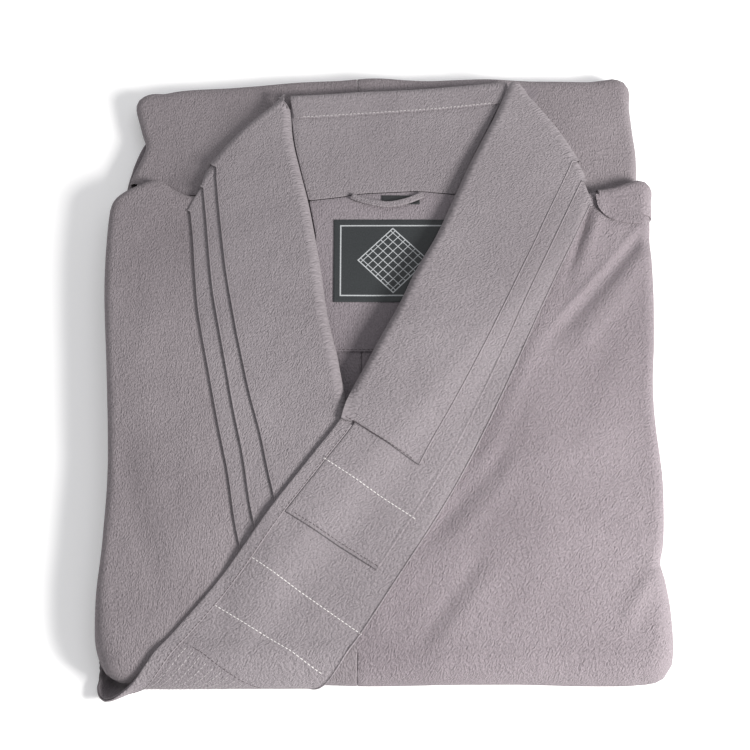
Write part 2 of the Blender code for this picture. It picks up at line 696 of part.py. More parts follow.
def collar_skin(rows, top, side):
    """The skin of one collar, rolled along its inner edge and its turn. side is -1 on the viewer's left."""
    inner = [row["inner"] for row in rows if row["inner"][1] > -70]
    turn = [tuple(point) for point in turn_points(rows, [*np.linspace(0, 1, 7)[1:], 1.3])]
    turn[-1] = tuple(np.array(rows[0]["outer"]) * 1.3 - np.array(rows[0]["inner"]) * 0.3)
    below = (inner[-1][0] - 5 * side, inner[-1][1] - 60)
    far = [(320 * side, 20), (320 * side, -300), (below[0], -300)]
    outline = [below, *inner[::-1], *turn, *far]
    if side > 0:
        outline = outline[::-1]
    return Skin([(x, y, COLLAR_FOLD) for x, y in outline], top, COLLAR_STACK)


def collar_grid(skin, rows, numbers, edges, rolled_until):
    """Plan grid of a collar: straight rows across it at these row numbers, columns at its layers' edges."""
    known = np.arange(len(rows))
    points = np.array([row["inner"] + row["outer"] for row in rows], float)
    ends = np.column_stack([np.interp(numbers, known, column) for column in points.T])
    inner, outer = ends[:, :2], ends[:, 2:]
    feet, _, _, _ = skin.nearest(inner)
    flat = eased((numbers - rolled_until) / 0.5)[:, None]
    inner = feet * (1 - flat) + inner * flat
    turned, _, _, _ = skin.nearest(outer[:1])
    lowered = np.clip(1 - numbers, 0, 1)[:, None]
    outer = outer + (turned - outer[:1]) * lowered
    width = np.linalg.norm(outer - inner, axis=1)
    shares = np.array([
        np.interp(edges, [0, 1, 2, 3, 4], [0, BINDING_WIDTH / across, top_share, MIDDLE_SHARE, 1])
        for across, top_share in zip(
            width, np.interp(numbers, [4, TOP_END_ROW], [TOP_SHARE, TOP_SHARE_AT_END])
        )
    ])[..., None]
    grid = inner[:, None] * (1 - shares) + outer[:, None] * shares
    first, _, _, _ = skin.nearest(turn_points(rows, shares[0, :, 0]))
    return grid + (first - grid[0])[None] * np.clip(1 - numbers / 2.0, 0, 1)[:, None, None]

def collar_reach(x, y):
    """How far the collar rolls over: less where the fronts cross, and flat where it lies on the shoulder."""
    inner_edge = 45.0 + 60.0 * eased((y + 40) / 60) - 26.0 * eased((y - 145) / 70)
    inner_edge = inner_edge * (0.2 + 0.8 * eased((y + 24) / 24))
    on_turn = eased((np.abs(x - COLLAR_MIDDLE_X) - COLLAR_HALF_GAP) / 12)
    return inner_edge * (1 - on_turn) + on_turn * (12.0 + 86.0 * eased((y - 146) / 16))


def collar(side, rows, skin, place, numbers, ends, rolled_until, material):
    """The three layers of one collar, which lie on each other in steps. Returns its plan grid."""
    grid = collar_grid(skin, rows, numbers, COLLAR_COLUMNS, rolled_until)
    for layer, lift in COLLAR_LIFTS.items():
        last = int(np.argmin(np.abs(numbers - ends[layer]))) + 1
        first_column, last_column = LAYER_COLUMNS[layer]
        pattern = Pattern(grid[:last, first_column:last_column])
        index = pattern.index
        border = list(index[0])
        if layer == "top":
            rolled = int(np.sum(numbers[:last] <= rolled_until))
            border = list(index[:rolled, 0][::-1]) + border[1:]
        elif layer == "base":
            border = border[1:]
        pattern.skirt(border, skin, collar_reach)
        plan = np.array(pattern.points)
        wall(f"collar_{side}_{layer}", pattern, place(plan, lift), place(plan, lift + CLOTH), material)
    return grid


def corner_loop(x, y):
    """How far the free edge of the left collar stands off as it goes round the corner of the pile."""
    loop = CORNER_LOOP
    apart = np.hypot(x - loop["x"], y - loop["y"])
    return loop["lift"] * np.exp(-((apart / loop["spread"]) ** 2) / 2)


def collars(chest, material, binding_material):
    """The right collar, the left one over it, and the binding on the left one's free edge."""
    right_skin = collar_skin(RIGHT_ROWS, chest_top, -1)
    last = len(RIGHT_ROWS) - 1
    numbers = np.linspace(0, last, 2 * last + 1)
    ends = {"base": last, "middle": last, "top": last}
    collar("right", RIGHT_ROWS, right_skin, right_skin.place, numbers, ends, last, material)

    left_skin = collar_skin(LEFT_ROWS, left_top, 1)
    on_chest = Skin(FRONT_OUTLINE, left_top)

    def place(plan, lift):
        lift = lift + corner_loop(plan[..., 0], plan[..., 1])
        beyond = on_chest.nearest(plan)[2]
        slack = ROLL_SLACK * eased((ROLL_SLACK_Y - plan[..., 1]) / 8)
        lift = lift + slack * (1 - 0.8 * eased((beyond - 24) / 14))
        low = plan[..., 1] < LEFT_ON_CHEST_Y
        return np.where(low[..., None], on_chest.place(plan, lift), left_skin.place(plan, lift))

    last = len(LEFT_ROWS) - 1
    numbers = np.concatenate([
        np.arange(0, LEFT_ROLLED_ROW + 0.1, 0.5), [6.8, TOP_END_ROW, 7.6],
        np.arange(8, 10, 0.5), np.arange(10, last + 0.1, 0.25),
    ])
    ends = {"base": last, "middle": MIDDLE_END_ROW, "top": TOP_END_ROW}
    grid = collar("left", LEFT_ROWS, left_skin, place, numbers, ends, LEFT_ROLLED_ROW, material)

    first = int(np.argmin(np.abs(numbers - TOP_END_ROW))) + 1
    edge = grid[first - 1:, :2].copy()
    edge[:, 1] += (edge[:, 0] - edge[:, 1]) * GAP / BINDING_WIDTH
    pattern = Pattern(edge)
    plan = np.array(pattern.points)
    lift = COLLAR_LIFTS["base"] + STEP
    wall("collar_left_binding", pattern, place(plan, lift), place(plan, lift + CLOTH), binding_material)


# Inside the neck

def opening_sides(heights, under):
    """The two sides of the neck opening at these heights, each moved under the collars by a distance."""
    left = np.interp(heights, RIGHT_INNER[::-1, 1], RIGHT_INNER[::-1, 0]) - under
    right = np.interp(heights, LEFT_INNER[7::-1, 1], LEFT_INNER[7::-1, 0]) + under
    return np.column_stack([left, heights]), np.column_stack([right, heights])


def neck(material, label_material, size_material):
    """The back's inside, its facing and collar, the hanger loop and two bare labels."""
    skin = Skin([(x, y, COLLAR_TOP_FOLD) for x, y in COLLAR_TOP_EDGE[::-1]], neck_floor)
    seam = smooth_line(NECK_SEAM, step=3.0)

    # Two halves of the back, seen below the facing
    heights = np.linspace(NECK_END_Y, FACING_EDGE_Y + 10, 8)
    left, right = opening_sides(heights, 6.0)
    left[:, 0] = np.minimum(left[:, 0], -27.0)
    right[:, 0] = np.maximum(right[:, 0], -3.0)
    middle = np.column_stack([np.full(len(heights), INSIDE_SEAM_X), heights])
    share = np.linspace(0, 1, 4)[None, :, None]
    for name, edge, side in (("back_inside_right", left, -1), ("back_inside_left", right, 1)):
        start = middle + np.array([side * GAP / 2, 0])
        pattern = Pattern(start[:, None] * (1 - share) + edge[:, None] * share)
        laid(name, pattern, skin, 0.0, material)

    # Facing
    columns = np.linspace(0, 1, 8)
    heights = np.linspace(FACING_EDGE_Y, 136.5, 9)
    under = 6.0 - 6.8 * eased((heights - 80) / 30)
    left, right = opening_sides(heights, 0.0)
    left[:, 0] -= under
    right[:, 0] += under
    low = at(np.array([left[0], right[0]]), columns)
    high = at(seam, columns) - np.array([0, GAP])
    left[-1], right[-1] = high[0] + (0.3, 0), high[-1] - (0.3, 0)
    high[0], high[-1] = left[-1], right[-1]
    laid("back_facing", Pattern(patch(left, right, low, high)), skin, STEP, material)

    # Back of the collar and the hem along its top
    top_line = skin.line[skin.run((99, 240), (-62, 228))][::-1]
    heights = np.linspace(0, 1, 6)
    left = opening_sides(np.linspace(138, 224, 6), -1.2)[0]
    right = opening_sides(np.linspace(144, 235, 6), -1.2)[1]
    right[:, 0] -= 1.2 * heights
    high = at(top_line, columns)
    high[0], high[-1] = (left[-1, 0], high[0, 1]), (right[-1, 0], high[-1, 1])
    low = at(seam, columns) + np.array([0, GAP])
    low[0], low[-1] = left[0], right[0]
    left[-1], right[-1] = high[0], high[-1]
    grid = patch(left, right, low, high)
    pattern = Pattern(grid)
    pattern.skirt(list(pattern.index[-1]), skin, lambda x, y: COLLAR_BACK_REACH)
    laid("collar_back", pattern, skin, STEP, material)
    along = (high - low) / np.linalg.norm(high - low, axis=1)[:, None]
    rows = [high - along * HEM_WIDTH * s for s in np.linspace(1, 0, 3)]
    pattern = Pattern(np.array(rows))
    pattern.skirt(list(pattern.index[-1]), skin, lambda x, y: COLLAR_HEM_REACH)
    laid("collar_back_hem", pattern, skin, 2 * STEP, material)

    # Label, cut off where the left collar covers it
    heights = np.linspace(LABEL["low"], LABEL["high"], 5)
    right = opening_sides(heights, -1.0)[1]
    right[:, 0] = np.minimum(right[:, 0], LABEL["right"])
    left = np.column_stack([np.full(len(heights), LABEL["left"]), heights])
    share = np.linspace(0, 1, 5)[None, :, None]
    pattern = Pattern(left[:, None] * (1 - share) + right[:, None] * share)
    laid("neck_label", pattern, skin, 2 * STEP, label_material, LABEL_THICKNESS)

    # Small size label under the loop
    box = SIZE_LABEL
    xs, ys = np.linspace(box["left"], box["right"], 3), np.linspace(box["low"], box["high"], 2)
    pattern = Pattern(np.stack(np.meshgrid(xs, ys), axis=-1))
    laid("size_label", pattern, skin, 2 * STEP, size_material, LABEL_THICKNESS)

    # Hanger loop, a flat strip that bows down from the neck seam
    path = smooth_line(LOOP_PATH, step=3.5)
    ahead = np.gradient(path, axis=0)
    aside = np.column_stack([-ahead[:, 1], ahead[:, 0]]) / np.linalg.norm(ahead, axis=1)[:, None]
    edges = np.array([-0.5, 0.5])[None, :, None] * LOOP_WIDTH
    pattern = Pattern(path[:, None] + aside[:, None] * edges)
    middle, half = (path[0, 0] + path[-1, 0]) / 2, (path[-1, 0] - path[0, 0]) / 2

    def raised(x, y):
        return 2 * STEP + LABEL_THICKNESS + GAP + LOOP_RISE * (1 - ((x - middle) / half) ** 2)

    laid("hanger_loop", pattern, skin, raised, material, LOOP_THICKNESS)


def main():
    for obj in list(bpy.data.objects):
        bpy.data.objects.remove(obj)
    robe = cloth_material("crinkled_cotton", (0.31, 0.26, 0.28), 0.92)
    binding = cloth_material("edge_binding", (0.31, 0.26, 0.28), 0.9)
    label = cloth_material("label_satin", (0.035, 0.042, 0.045), 0.6)
    size_label = cloth_material("size_label_satin", (0.03, 0.03, 0.03), 0.6)

    chest = Skin(FRONT_OUTLINE, chest_top)
    folded_layers(chest, robe)
    backs(Skin(BACK_OUTLINE, lower_top), robe)
    neck(robe, label, size_label)
    front_right(chest, robe)
    front_left(chest, robe)
    front_left_panel(chest, robe)
    sleeve_left(chest, robe)
    collars(chest, robe, binding)


main()
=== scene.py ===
# %% [markdown]
# # A folded monk's robe
#
# This file dresses the plain solids of a folded wrap-over robe: crinkled cotton cloth, a broad collar
# made of three stepped layers, rows of sewing, a hanger loop and two woven labels.
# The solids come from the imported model. Each cloth piece is drawn again here as a thin sheet with a
# rounded edge, in the place of its solid, so that the cloth can carry folds, crinkles and stitches.

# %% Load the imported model
import math

import bmesh
import bpy
import numpy as np
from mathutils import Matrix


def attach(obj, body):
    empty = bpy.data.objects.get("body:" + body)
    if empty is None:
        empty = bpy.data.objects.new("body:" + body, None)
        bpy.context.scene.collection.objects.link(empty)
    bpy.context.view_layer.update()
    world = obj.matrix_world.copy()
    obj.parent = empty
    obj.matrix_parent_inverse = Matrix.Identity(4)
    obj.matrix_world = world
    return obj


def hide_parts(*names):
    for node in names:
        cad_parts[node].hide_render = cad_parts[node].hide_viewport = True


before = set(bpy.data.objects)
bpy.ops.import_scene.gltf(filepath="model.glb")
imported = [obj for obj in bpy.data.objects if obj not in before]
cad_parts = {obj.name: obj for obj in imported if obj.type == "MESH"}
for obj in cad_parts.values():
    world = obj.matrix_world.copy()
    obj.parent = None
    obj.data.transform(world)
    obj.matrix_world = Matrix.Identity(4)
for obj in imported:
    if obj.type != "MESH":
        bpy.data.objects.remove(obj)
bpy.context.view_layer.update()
MM = 0.001
print("nodes:", sorted(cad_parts))

# %% [markdown]
# ## The room
#
# A garment like this is photographed from above on a white table, with one large soft lamp low on one
# side and a lot of light bounced back from the walls. The low lamp is what makes the crinkles and the
# steps of the collar show. The camera looks down at 68 degrees with a long lens, which keeps the
# sides of the pile almost parallel.

# %% Camera, floor and lights
PLAN_MIDDLE = np.array([3.96, 8.19])
CAMERA_TARGET = (-0.00396, -0.00819, 0.020)
CAMERA_DISTANCE = 1.23
CAMERA_HEIGHT_ANGLE = math.radians(68.0)
LENS, SENSOR = 80.0, 36.0
# Each lamp: name, place, width, watts, colour
LAMPS = [
    ("key_lamp", (0.80, -0.46, 0.76), 0.34, 24.0, "#fffdfa"),
    ("top_lamp", (0.35, 0.1, 1.9), 1.1, 5.0, "#f8f9ff"),
]
WALL_LIGHT, TABLE_SIZE = 0.47, 12.0


def srgb(code):
    """A hex colour as the linear numbers that a shader takes."""
    parts = [int(code[i:i + 2], 16) / 255 for i in (1, 3, 5)]
    return (*[p / 12.92 if p <= 0.04045 else ((p + 0.055) / 1.055) ** 2.4 for p in parts], 1.0)


def add_camera():
    data = bpy.data.cameras.new("camera")
    data.lens, data.sensor_width = LENS, SENSOR
    camera = bpy.data.objects.new("camera", data)
    back = math.cos(CAMERA_HEIGHT_ANGLE) * CAMERA_DISTANCE
    camera.location = (
        CAMERA_TARGET[0], CAMERA_TARGET[1] - back,
        CAMERA_TARGET[2] + math.sin(CAMERA_HEIGHT_ANGLE) * CAMERA_DISTANCE,
    )
    camera.rotation_euler = (math.pi / 2 - CAMERA_HEIGHT_ANGLE, 0, 0)
    bpy.context.scene.collection.objects.link(camera)
    bpy.context.scene.camera = camera


def add_lamp(name, place, size, watts, colour):
    """A square area lamp that faces the middle of the robe."""
    data = bpy.data.lights.new(name, "AREA")
    data.shape, data.size, data.energy, data.color = "SQUARE", size, watts, srgb(colour)[:3]
    lamp = bpy.data.objects.new(name, data)
    spot = np.array(place)
    lamp.location = spot
    away = spot / np.linalg.norm(spot)
    lamp.rotation_euler = (math.acos(away[2]), 0, math.atan2(away[1], away[0]) + math.pi / 2)
    bpy.context.scene.collection.objects.link(lamp)


add_camera()
for lamp in LAMPS:
    add_lamp(*lamp)
world = bpy.context.scene.world or bpy.data.worlds.new("studio")
bpy.context.scene.world = world
world.use_nodes = True
backdrop = next(n for n in world.node_tree.nodes if n.type == "BACKGROUND")
backdrop.inputs["Color"].default_value = srgb("#ffffff")
backdrop.inputs["Strength"].default_value = WALL_LIGHT
bpy.context.scene.view_settings.view_transform = "Standard"
bpy.context.scene.view_settings.exposure = 0.0

bpy.ops.object.select_all(action="DESELECT")
bpy.ops.mesh.primitive_plane_add(size=TABLE_SIZE, location=(0, 0, 0))
floor = bpy.context.active_object
floor.name = "table_top"
print("camera", round(CAMERA_DISTANCE, 2), "m away, lamps:", len(bpy.data.lights))

# %% [markdown]
# ## Adding shader nodes
#
# One small function adds a node, sets its fields and sockets and links what goes into it.
# Every material below is built with it.

# %% A helper for nodes
def node(tree, kind, links=(), fields=(), **sockets):
    """Adds a node. links are (socket, node, output), fields are (name, value), sockets are set by name."""
    made = tree.nodes.new("ShaderNode" + kind)
    for name, value in fields:
        setattr(made, name, value)
    for name, value in sockets.items():
        made.inputs[int(name[1:]) if name[0] == "_" else name.replace("_", " ")].default_value = value
    for socket, other, output in links:
        tree.links.new(other.outputs[output], made.inputs[socket])
    return made


def new_material(name):
    material = bpy.data.materials.new(name)
    material.use_nodes = True
    tree = material.node_tree
    return material, tree, tree.nodes["Principled BSDF"]


print("helpers ready")

# %% [markdown]
# ## Table top
#
# The robe lies on a matt white acrylic table that is lit faintly from below, as product tables are,
# so the shadows on it stay pale. Its only detail is a very faint unevenness in its gloss.

# %% White table
board, tree, shader = new_material("matt_white_acrylic")
place = node(tree, "TexCoord")
grain = node(tree, "TexNoise", [("Vector", place, "Object")], Scale=40.0, Detail=3.0)
shader.inputs["Base Color"].default_value = srgb("#f6f6f7")
uneven = node(tree, "MapRange", [("Value", grain, "Fac")], _3=0.8, _4=0.9)
tree.links.new(uneven.outputs["Result"], shader.inputs["Roughness"])
shader.inputs["Emission Color"].default_value = srgb("#ffffff")
shader.inputs["Emission Strength"].default_value = 0.16
floor.data.materials.append(board)
print("floor", board.name)

# %% [markdown]
# ## Crinkled cotton
#
# The cloth is a plain weave of soft, slightly uneven cotton yarn that was washed without tension, so
# it shrank into a fine crinkle. Five sizes of detail give it to the eye: a crepe grain of about 1 mm,
# crinkles about 3 mm apart, soft waves about 13 mm wide, thicker slubs along a few of the threads,
# and clouds in the dye about 11 cm wide. The threads themselves would be finer than a pixel, so the
# weave is drawn a little coarser, at one thread in 0.9 mm. The pattern reads the piece's own map,
# which holds the cloth's flat shape in metres, so the weave bends with the cloth and isn't
# stretched where it rolls over an edge. On the left front the crinkle runs aslant, as it is drawn
# towards the shoulder there.

# %% Crinkled cotton material
# Metres from thread to thread, the wave texture's scale that gives it, and the threads' height
THREAD = 0.0009
THREAD_WAVES = 1.0 / THREAD / math.tau * 0.5
THREAD_RELIEF = 0.0002

# Each pattern: name, size in metres, detail, roughness, distortion, squeeze along the cloth
COTTON_PATTERNS = [
    ("cloud", 0.11, 2.0, 0.5, 0.0, (1, 1)),
    ("slubs", 0.0016, 2.0, 0.6, 0.0, (0.12, 1)),
    ("soft", 0.013, 2.0, 0.5, 0.5, (1, 0.7)),
    ("crinkle", 0.0030, 2.0, 0.5, 0.3, (1, 0.5)),
    ("crepe", 0.00105, 2.0, 0.6, 0.1, (1, 0.55)),
]
# How far each pattern lifts the surface, in metres between its lowest and highest value
COTTON_RELIEF = {"soft": 0.0010, "crinkle": 0.00055, "crepe": 0.0016}


def crinkled_cotton(name, dark, light, crinkle_strength, crinkle_turn=0.0):
    """Cotton between two hex colours. crinkle_turn sets the crinkles aslant to the threads, in degrees."""
    material, tree, shader = new_material(name)
    flat = node(tree, "UVMap", fields=[("uv_map", "cloth")])
    turned = node(tree, "Mapping", [("Vector", flat, "UV")], Rotation=(0, 0, math.radians(crinkle_turn)))
    made = {}
    for label, size, detail, roughness, distortion, squeeze in COTTON_PATTERNS:
        along = ("Vector", flat, "UV") if label == "slubs" else ("Vector", turned, "Vector")
        scaled = node(tree, "Mapping", [along], Scale=(squeeze[0] / size, squeeze[1] / size, 1))
        made[label] = node(
            tree, "TexNoise", [("Vector", scaled, "Vector")],
            Scale=1.0, Detail=detail, Roughness=roughness, Distortion=distortion,
        )

    # Colour: cloudy dye, paler slubs, and painted shade in the hollows of the crepe grain with painted light
    # on its crests
    cloudy = node(tree, "MapRange", [("Value", made["cloud"], "Fac")], _1=0.3, _2=0.7)
    dyed = node(
        tree, "Mix", [("Factor", cloudy, "Result")], [("data_type", "RGBA")], _6=srgb(dark), _7=srgb(light)
    )
    slubbed = node(tree, "MapRange", [("Value", made["slubs"], "Fac")], _1=0.5, _2=0.8, _3=0.0, _4=0.6)
    pale = node(
        tree, "Mix", [("Factor", slubbed, "Result"), (6, dyed, 2)], [("data_type", "RGBA")], _7=srgb(light)
    )
    # Painted shade and light: the crepe's hollows darken the colour and its crests lighten it
    dips = node(tree, "MapRange", [("Value", made["crepe"], "Fac")], _1=0.3, _2=0.7, _3=0.82, _4=1.15)
    shaded = node(tree, "VectorMath", [(0, pale, 2), ("Scale", dips, "Result")], [("operation", "SCALE")])
    tree.links.new(shaded.outputs["Vector"], shader.inputs["Base Color"])

    # Relief: soft waves, crinkle and crepe grain, then the weave with its slubs
    bump = None
    for label, relief in COTTON_RELIEF.items():
        links = [("Height", made[label], "Fac")] + ([("Normal", bump, "Normal")] if bump else [])
        bump = node(tree, "Bump", links, Strength=crinkle_strength, Distance=relief)
    threads = []
    for turn in (0, 90):
        line = node(tree, "Mapping", [("Vector", flat, "UV")], Rotation=(0, 0, math.radians(turn)))
        threads.append(
            node(tree, "TexWave", [("Vector", line, "Vector")], Scale=THREAD_WAVES, Distortion=0.0)
        )
    weave = node(tree, "Math", [(0, threads[0], "Fac"), (1, threads[1], "Fac")], [("operation", "MAXIMUM")])
    rough = node(tree, "Math", [(0, weave, "Value"), (1, made["slubs"], "Fac")], [("operation", "ADD")])
    bump = node(
        tree, "Bump", [("Height", rough, "Value"), ("Normal", bump, "Normal")],
        Strength=0.4, Distance=THREAD_RELIEF,
    )
    tree.links.new(bump.outputs["Normal"], shader.inputs["Normal"])
    shader.inputs["Roughness"].default_value = 0.9
    shader.inputs["Specular IOR Level"].default_value = 0.2
    shader.inputs["Sheen Weight"].default_value = 0.2
    shader.inputs["Sheen Roughness"].default_value = 0.55
    shader.inputs["Sheen Tint"].default_value = srgb("#e2d8dc")
    return material


COTTON = crinkled_cotton("washed_cotton_mauve", "#7d767a", "#8a8387", 1.1)
COTTON_DRAWN = crinkled_cotton("washed_cotton_drawn_aslant", "#7e767b", "#8b8388", 1.3, 42.0)
COTTON_FLAT = crinkled_cotton("pressed_cotton_mauve", "#7d777b", "#8a8488", 1.05, 30.0)
# The copy for the inner layers is a little darker than the outer cloth, as painted shade for the pieces that
# lie in the neck hollow and inside the pile
COTTON_PAINTED_SHADE_INSIDE = crinkled_cotton("cotton_painted_shade_inner_layers", "#777075", "#837c81", 0.9)
print("cloth materials:", COTTON.name, COTTON_DRAWN.name, COTTON_FLAT.name, COTTON_PAINTED_SHADE_INSIDE.name)

# %% [markdown]
# ## The plan of the fold
#
# The tables give the outlines of the pile and of its pieces in millimetres, seen from above, with +Y
# towards the collar. They are the same design as the solids. Right and left are the wearer's.

# %% Thicknesses, heights and rolls
# The cloth, the gap beside a seam, and the height from one layer of the collar to the next
CLOTH, GAP, STEP = 1.2, 0.3, 1.5
EDGE_HEIGHT, CROWN, CROWN_REACH = 36.0, 6.0, 90.0
LOWER_HEIGHT, LOWER_CROWN = 22.4, 3.4
CHEST_LEFT, CHEST_RIGHT, CHEST_LOW, CHEST_HIGH = -195, 198, -212, 150
CHEST_DROP, CHEST_DROP_Y, CHEST_DROP_REACH = 3.2, 140, 90
BACK_LEFT, BACK_RIGHT, BACK_HIGH, BACK_SIDE_REACH, BACK_HIGH_REACH = -186, 198, 247, 70, 60
NECK_DEPTH, NECK_RISE, NECK_RISE_Y, NECK_RISE_REACH = 28.0, 4.4, -35, 175
NECK_LIFT, NECK_LIFT_Y, NECK_LIFT_REACH = 0.6, 140, 80
# How far the left collar is raised over the right one's steps, how steeply, and how it ends below them
OVER_STEPS, OVER_SLOPE, OVER_END, OVER_FADE = 4.9, 10.5, 9.0, 34.0
# Degrees that the cloth rolls round the edge, at the sides and at the shoulders
ROLL_REACH, SHOULDER_REACH, SHOULDER_Y, SHOULDER_EASE = 150.0, 108.0, 118, 14
COLLAR_FOLD, COLLAR_STACK = 2.0, 3 * STEP + CLOTH
MIDDLE_SHARE, TOP_SHARE, TOP_SHARE_AT_END = 0.853, 0.716, 0.655
BINDING_WIDTH = 10.0
print("cloth", CLOTH, "mm thick, a layer every", STEP, "mm")

# %% [markdown]
# Each point of an outline has the radius of the rounded edge beside it as its third number.

# %% Outlines of the pile
FRONT_OUTLINE = [
    (-143, 143, 6.5), (-151, 146, 6.5), (-161, 154, 6.5), (-169, 156, 6.5), (-178, 153, 6.5),
    (-187, 148, 6.5), (-197, 143, 6.5), (-202, 128, 6.5), (-203, 100, 6.5), (-202, 60, 6.5),
    (-198, 15, 6.5), (-193, -45, 6.5), (-191, -90, 6.5), (-192, -134, 6.5), (-194, -165, 8.0),
    (-194, -190, 11.0), (-191, -212, 14.5), (-178, -227, 16.3), (-150, -229, 16.3), (-110, -229, 16.3),
    (-70, -229, 16.5), (-40, -229, 17.0), (0, -230, 17.0), (50, -229, 17.0), (100, -229, 17.0),
    (150, -230, 17.0), (185, -229, 17.0), (202, -222, 16.0), (206, -205, 14.0), (206, -187, 12.0),
    (204, -166, 9.5), (200, -148, 8.0), (203, -130, 6.5), (205, -100, 6.5), (205, -78, 6.5),
    (203, -45, 6.5), (203, -10, 6.5), (206, 23, 6.5), (208, 60, 6.5), (208, 100, 6.5),
    (209, 130, 6.5), (209, 150, 6.5), (202, 155, 6.5), (189, 151, 6.5), (168, 146, 6.5),
    (100, 143, 6.5), (0, 142, 6.5), (-90, 142, 6.5),
]
BACK_OUTLINE = [
    (203, 120, 5.4), (203, 165, 5.4), (204, 181, 5.4), (202, 210, 5.4), (201, 231, 6.5),
    (202, 247, 9.0), (193, 256, 10.3), (170, 254, 10.3), (141, 255, 10.3), (98, 257, 10.3),
    (44, 255, 10.3), (2, 257, 10.3), (-29, 255, 10.3), (-62, 253, 10.3), (-103, 249, 10.3),
    (-147, 246, 10.3), (-171, 242, 10.3), (-184, 240, 9.0), (-189, 230, 7.0), (-184, 209, 5.4),
    (-179, 191, 5.4), (-184, 176, 5.4), (-190, 158, 5.4), (-192, 120, 5.4), (-190, 40, 5.4),
    (-188, -60, 5.4), (190, -60, 5.4), (201, 40, 5.4),
]
BACK_SEAM_X, INSIDE_SEAM_X = -13.5, -10.0
BACK_TUCK = [
    (196, 154), (189, 150.5), (165, 146), (100, 142.5), (0, 142), (-140, 143), (-150, 147),
    (-161, 153.5), (-170, 155), (-182, 150), (-183, 147),
]
FOLD_UPPER = [
    (-184, 150), (-178, 174), (-172, 191), (-176, 209), (-180, 226), (-170, 234), (-103, 241),
    (0, 248), (98, 248), (170, 246), (187, 245), (195, 233), (197, 180), (199, 100),
    (200, 0), (199, -80), (190, -130), (179, -175), (160, -205), (100, -219), (0, -220),
    (-100, -217), (-155, -203), (-176, -175), (-184, -130), (-186, -60), (-186, 40),
]
FOLD_LOWER = [
    (-195, 150), (-187, 190), (-175, 212), (-160, 226), (-103, 235), (0, 242), (98, 242),
    (172, 239), (188, 230), (199, 205), (205, 100), (204, 0), (199, -80), (187, -130),
    (174, -175), (150, -197), (100, -207), (0, -208), (-100, -206), (-145, -195),
    (-168, -170), (-183, -130), (-193, -60), (-197, 40),
]
print("outline points:", len(FRONT_OUTLINE) + len(BACK_OUTLINE))

# %% [markdown]
# Each row of a collar is given by its inner and its outer end, from the neck's peak downwards. Where
# a layer ends, and where the rolled edge opens out flat, are given as numbers of a row.

# %% Rows of the collars, and edges of the fronts
RIGHT_ROWS = [
    (-67, 231, -142, 140), (-63, 190, -137, 104), (-57, 162, -134, 74), (-50, 132, -130, 40),
    (-42, 87, -121, -5), (-35, 40, -112, -49), (-27, 4, -104, -85), (-20, -32, -98, -121),
    (-13, -66, -90, -155),
]
LEFT_ROWS = [
    (108, 241, 168, 140), (92, 208, 158, 119), (72, 165, 148, 97), (61, 135, 138, 76),
    (40, 90, 119, 35), (22, 48, 102, -3), (-2, 1, 80, -50), (-21, -40, 59, -91),
    (-46, -75, 38, -126), (-71, -109, 14, -163), (-105, -158, -19, -212), (-134, -193, -49, -246),
    (-155, -217, -78, -256), (-167, -230, -118, -257), (-178, -235, -150, -256),
    (-190, -234, -178, -252), (-200, -227, -197, -243), (-205, -216, -209, -229),
]
TURN_BOW = {"right": 8.0, "left": 6.0}
TURN_ROWS = 1.2
TOP_END_ROW, MIDDLE_END_ROW, LEFT_ROLLED_ROW = 7.15, 9.0, 6.5
LEFT_ON_CHEST_Y, ROLL_SLACK, ROLL_SLACK_Y = -30.0, 1.6, -200.0
CORNER_LOOP = {"x": -187.0, "y": -234.0, "spread": 10.0, "lift": 12.0}
RIGHT_FRONT_END = [
    (-78, 134), (-70, 90), (-62, 40), (-50, -10), (-40, -60), (-46, -130), (-76, -176), (-105, -212),
]
LEFT_FRONT_END = [
    (122, 134), (109, 98), (88, 56), (70, 17), (48, -31), (28, -72), (6, -107), (-11.85, -138),
]
PANEL_SEAM_X = -12.0
PANEL_END = [(-12.15, -141), (-50, -188), (-74, -212)]
# The panel is laid out from just above the bottom fold, nearly to the tip of its triangle
PANEL_LOW, PANEL_TIP_SHARE = -215, 0.985
SLEEVE_EDGE = [(168, 139), (170, 127), (178, 120), (189, 117), (200, 117)]
# The flap's edge stands up by the first, over the second
FLAP_LIFT, FLAP_SPREAD = 1.3, 5.0
print("rows of the collars:", len(RIGHT_ROWS), len(LEFT_ROWS))

# %% Lines inside the neck
NECK_SEAM = [(-50, 137), (-27, 140), (-13, 142.5), (11, 144), (34, 145), (50, 143.5), (62, 142)]
COLLAR_TOP_EDGE = [
    (-150, 226), (-100, 227), (-61, 228), (-43, 229), (-13, 231), (20, 233), (59, 236), (98, 240),
    (130, 243), (180, 246), (180, -150), (-150, -150),
]
COLLAR_TOP_FOLD, COLLAR_BACK_REACH, COLLAR_HEM_REACH = 3.0, 110.0, 100.0
HEM_WIDTH, HEM_STITCH_INSET, FACING_EDGE_Y, NECK_END_Y = 16.3, 1.3, 14.0, -72.0
NECK_HOLLOW = [(-82, -38, 4), (-20, -40, 10), (40, -52, 38), (100, -62, 62), (166, -74, 98)]
COLLAR_PAD = [
    (-78, 124), (-78, 150), (-94, 160), (-80, 184), (-58, 206), (0, 216), (60, 219), (94, 216),
    (114, 186), (122, 166), (106, 150), (106, 124),
]
LABEL = {"left": -31.0, "right": 58.0, "low": 53.0, "high": 120.5}
SIZE_LABEL = {"left": 5.0, "right": 34.0, "low": 133.5, "high": 141.0}
LABEL_THICKNESS = 0.6
LOOP_PATH = [(-18, 140), (-11, 136.5), (0, 133), (11, 131.6), (23, 134.4), (31, 138), (36.5, 141)]
LOOP_WIDTH, LOOP_THICKNESS, LOOP_RISE = 5.0, 1.8, 2.2
COLLAR_MIDDLE_X, COLLAR_HALF_GAP = 19.0, 98.0

print("neck label, mm:", LABEL["right"] - LABEL["left"], "x", LABEL["high"] - LABEL["low"])
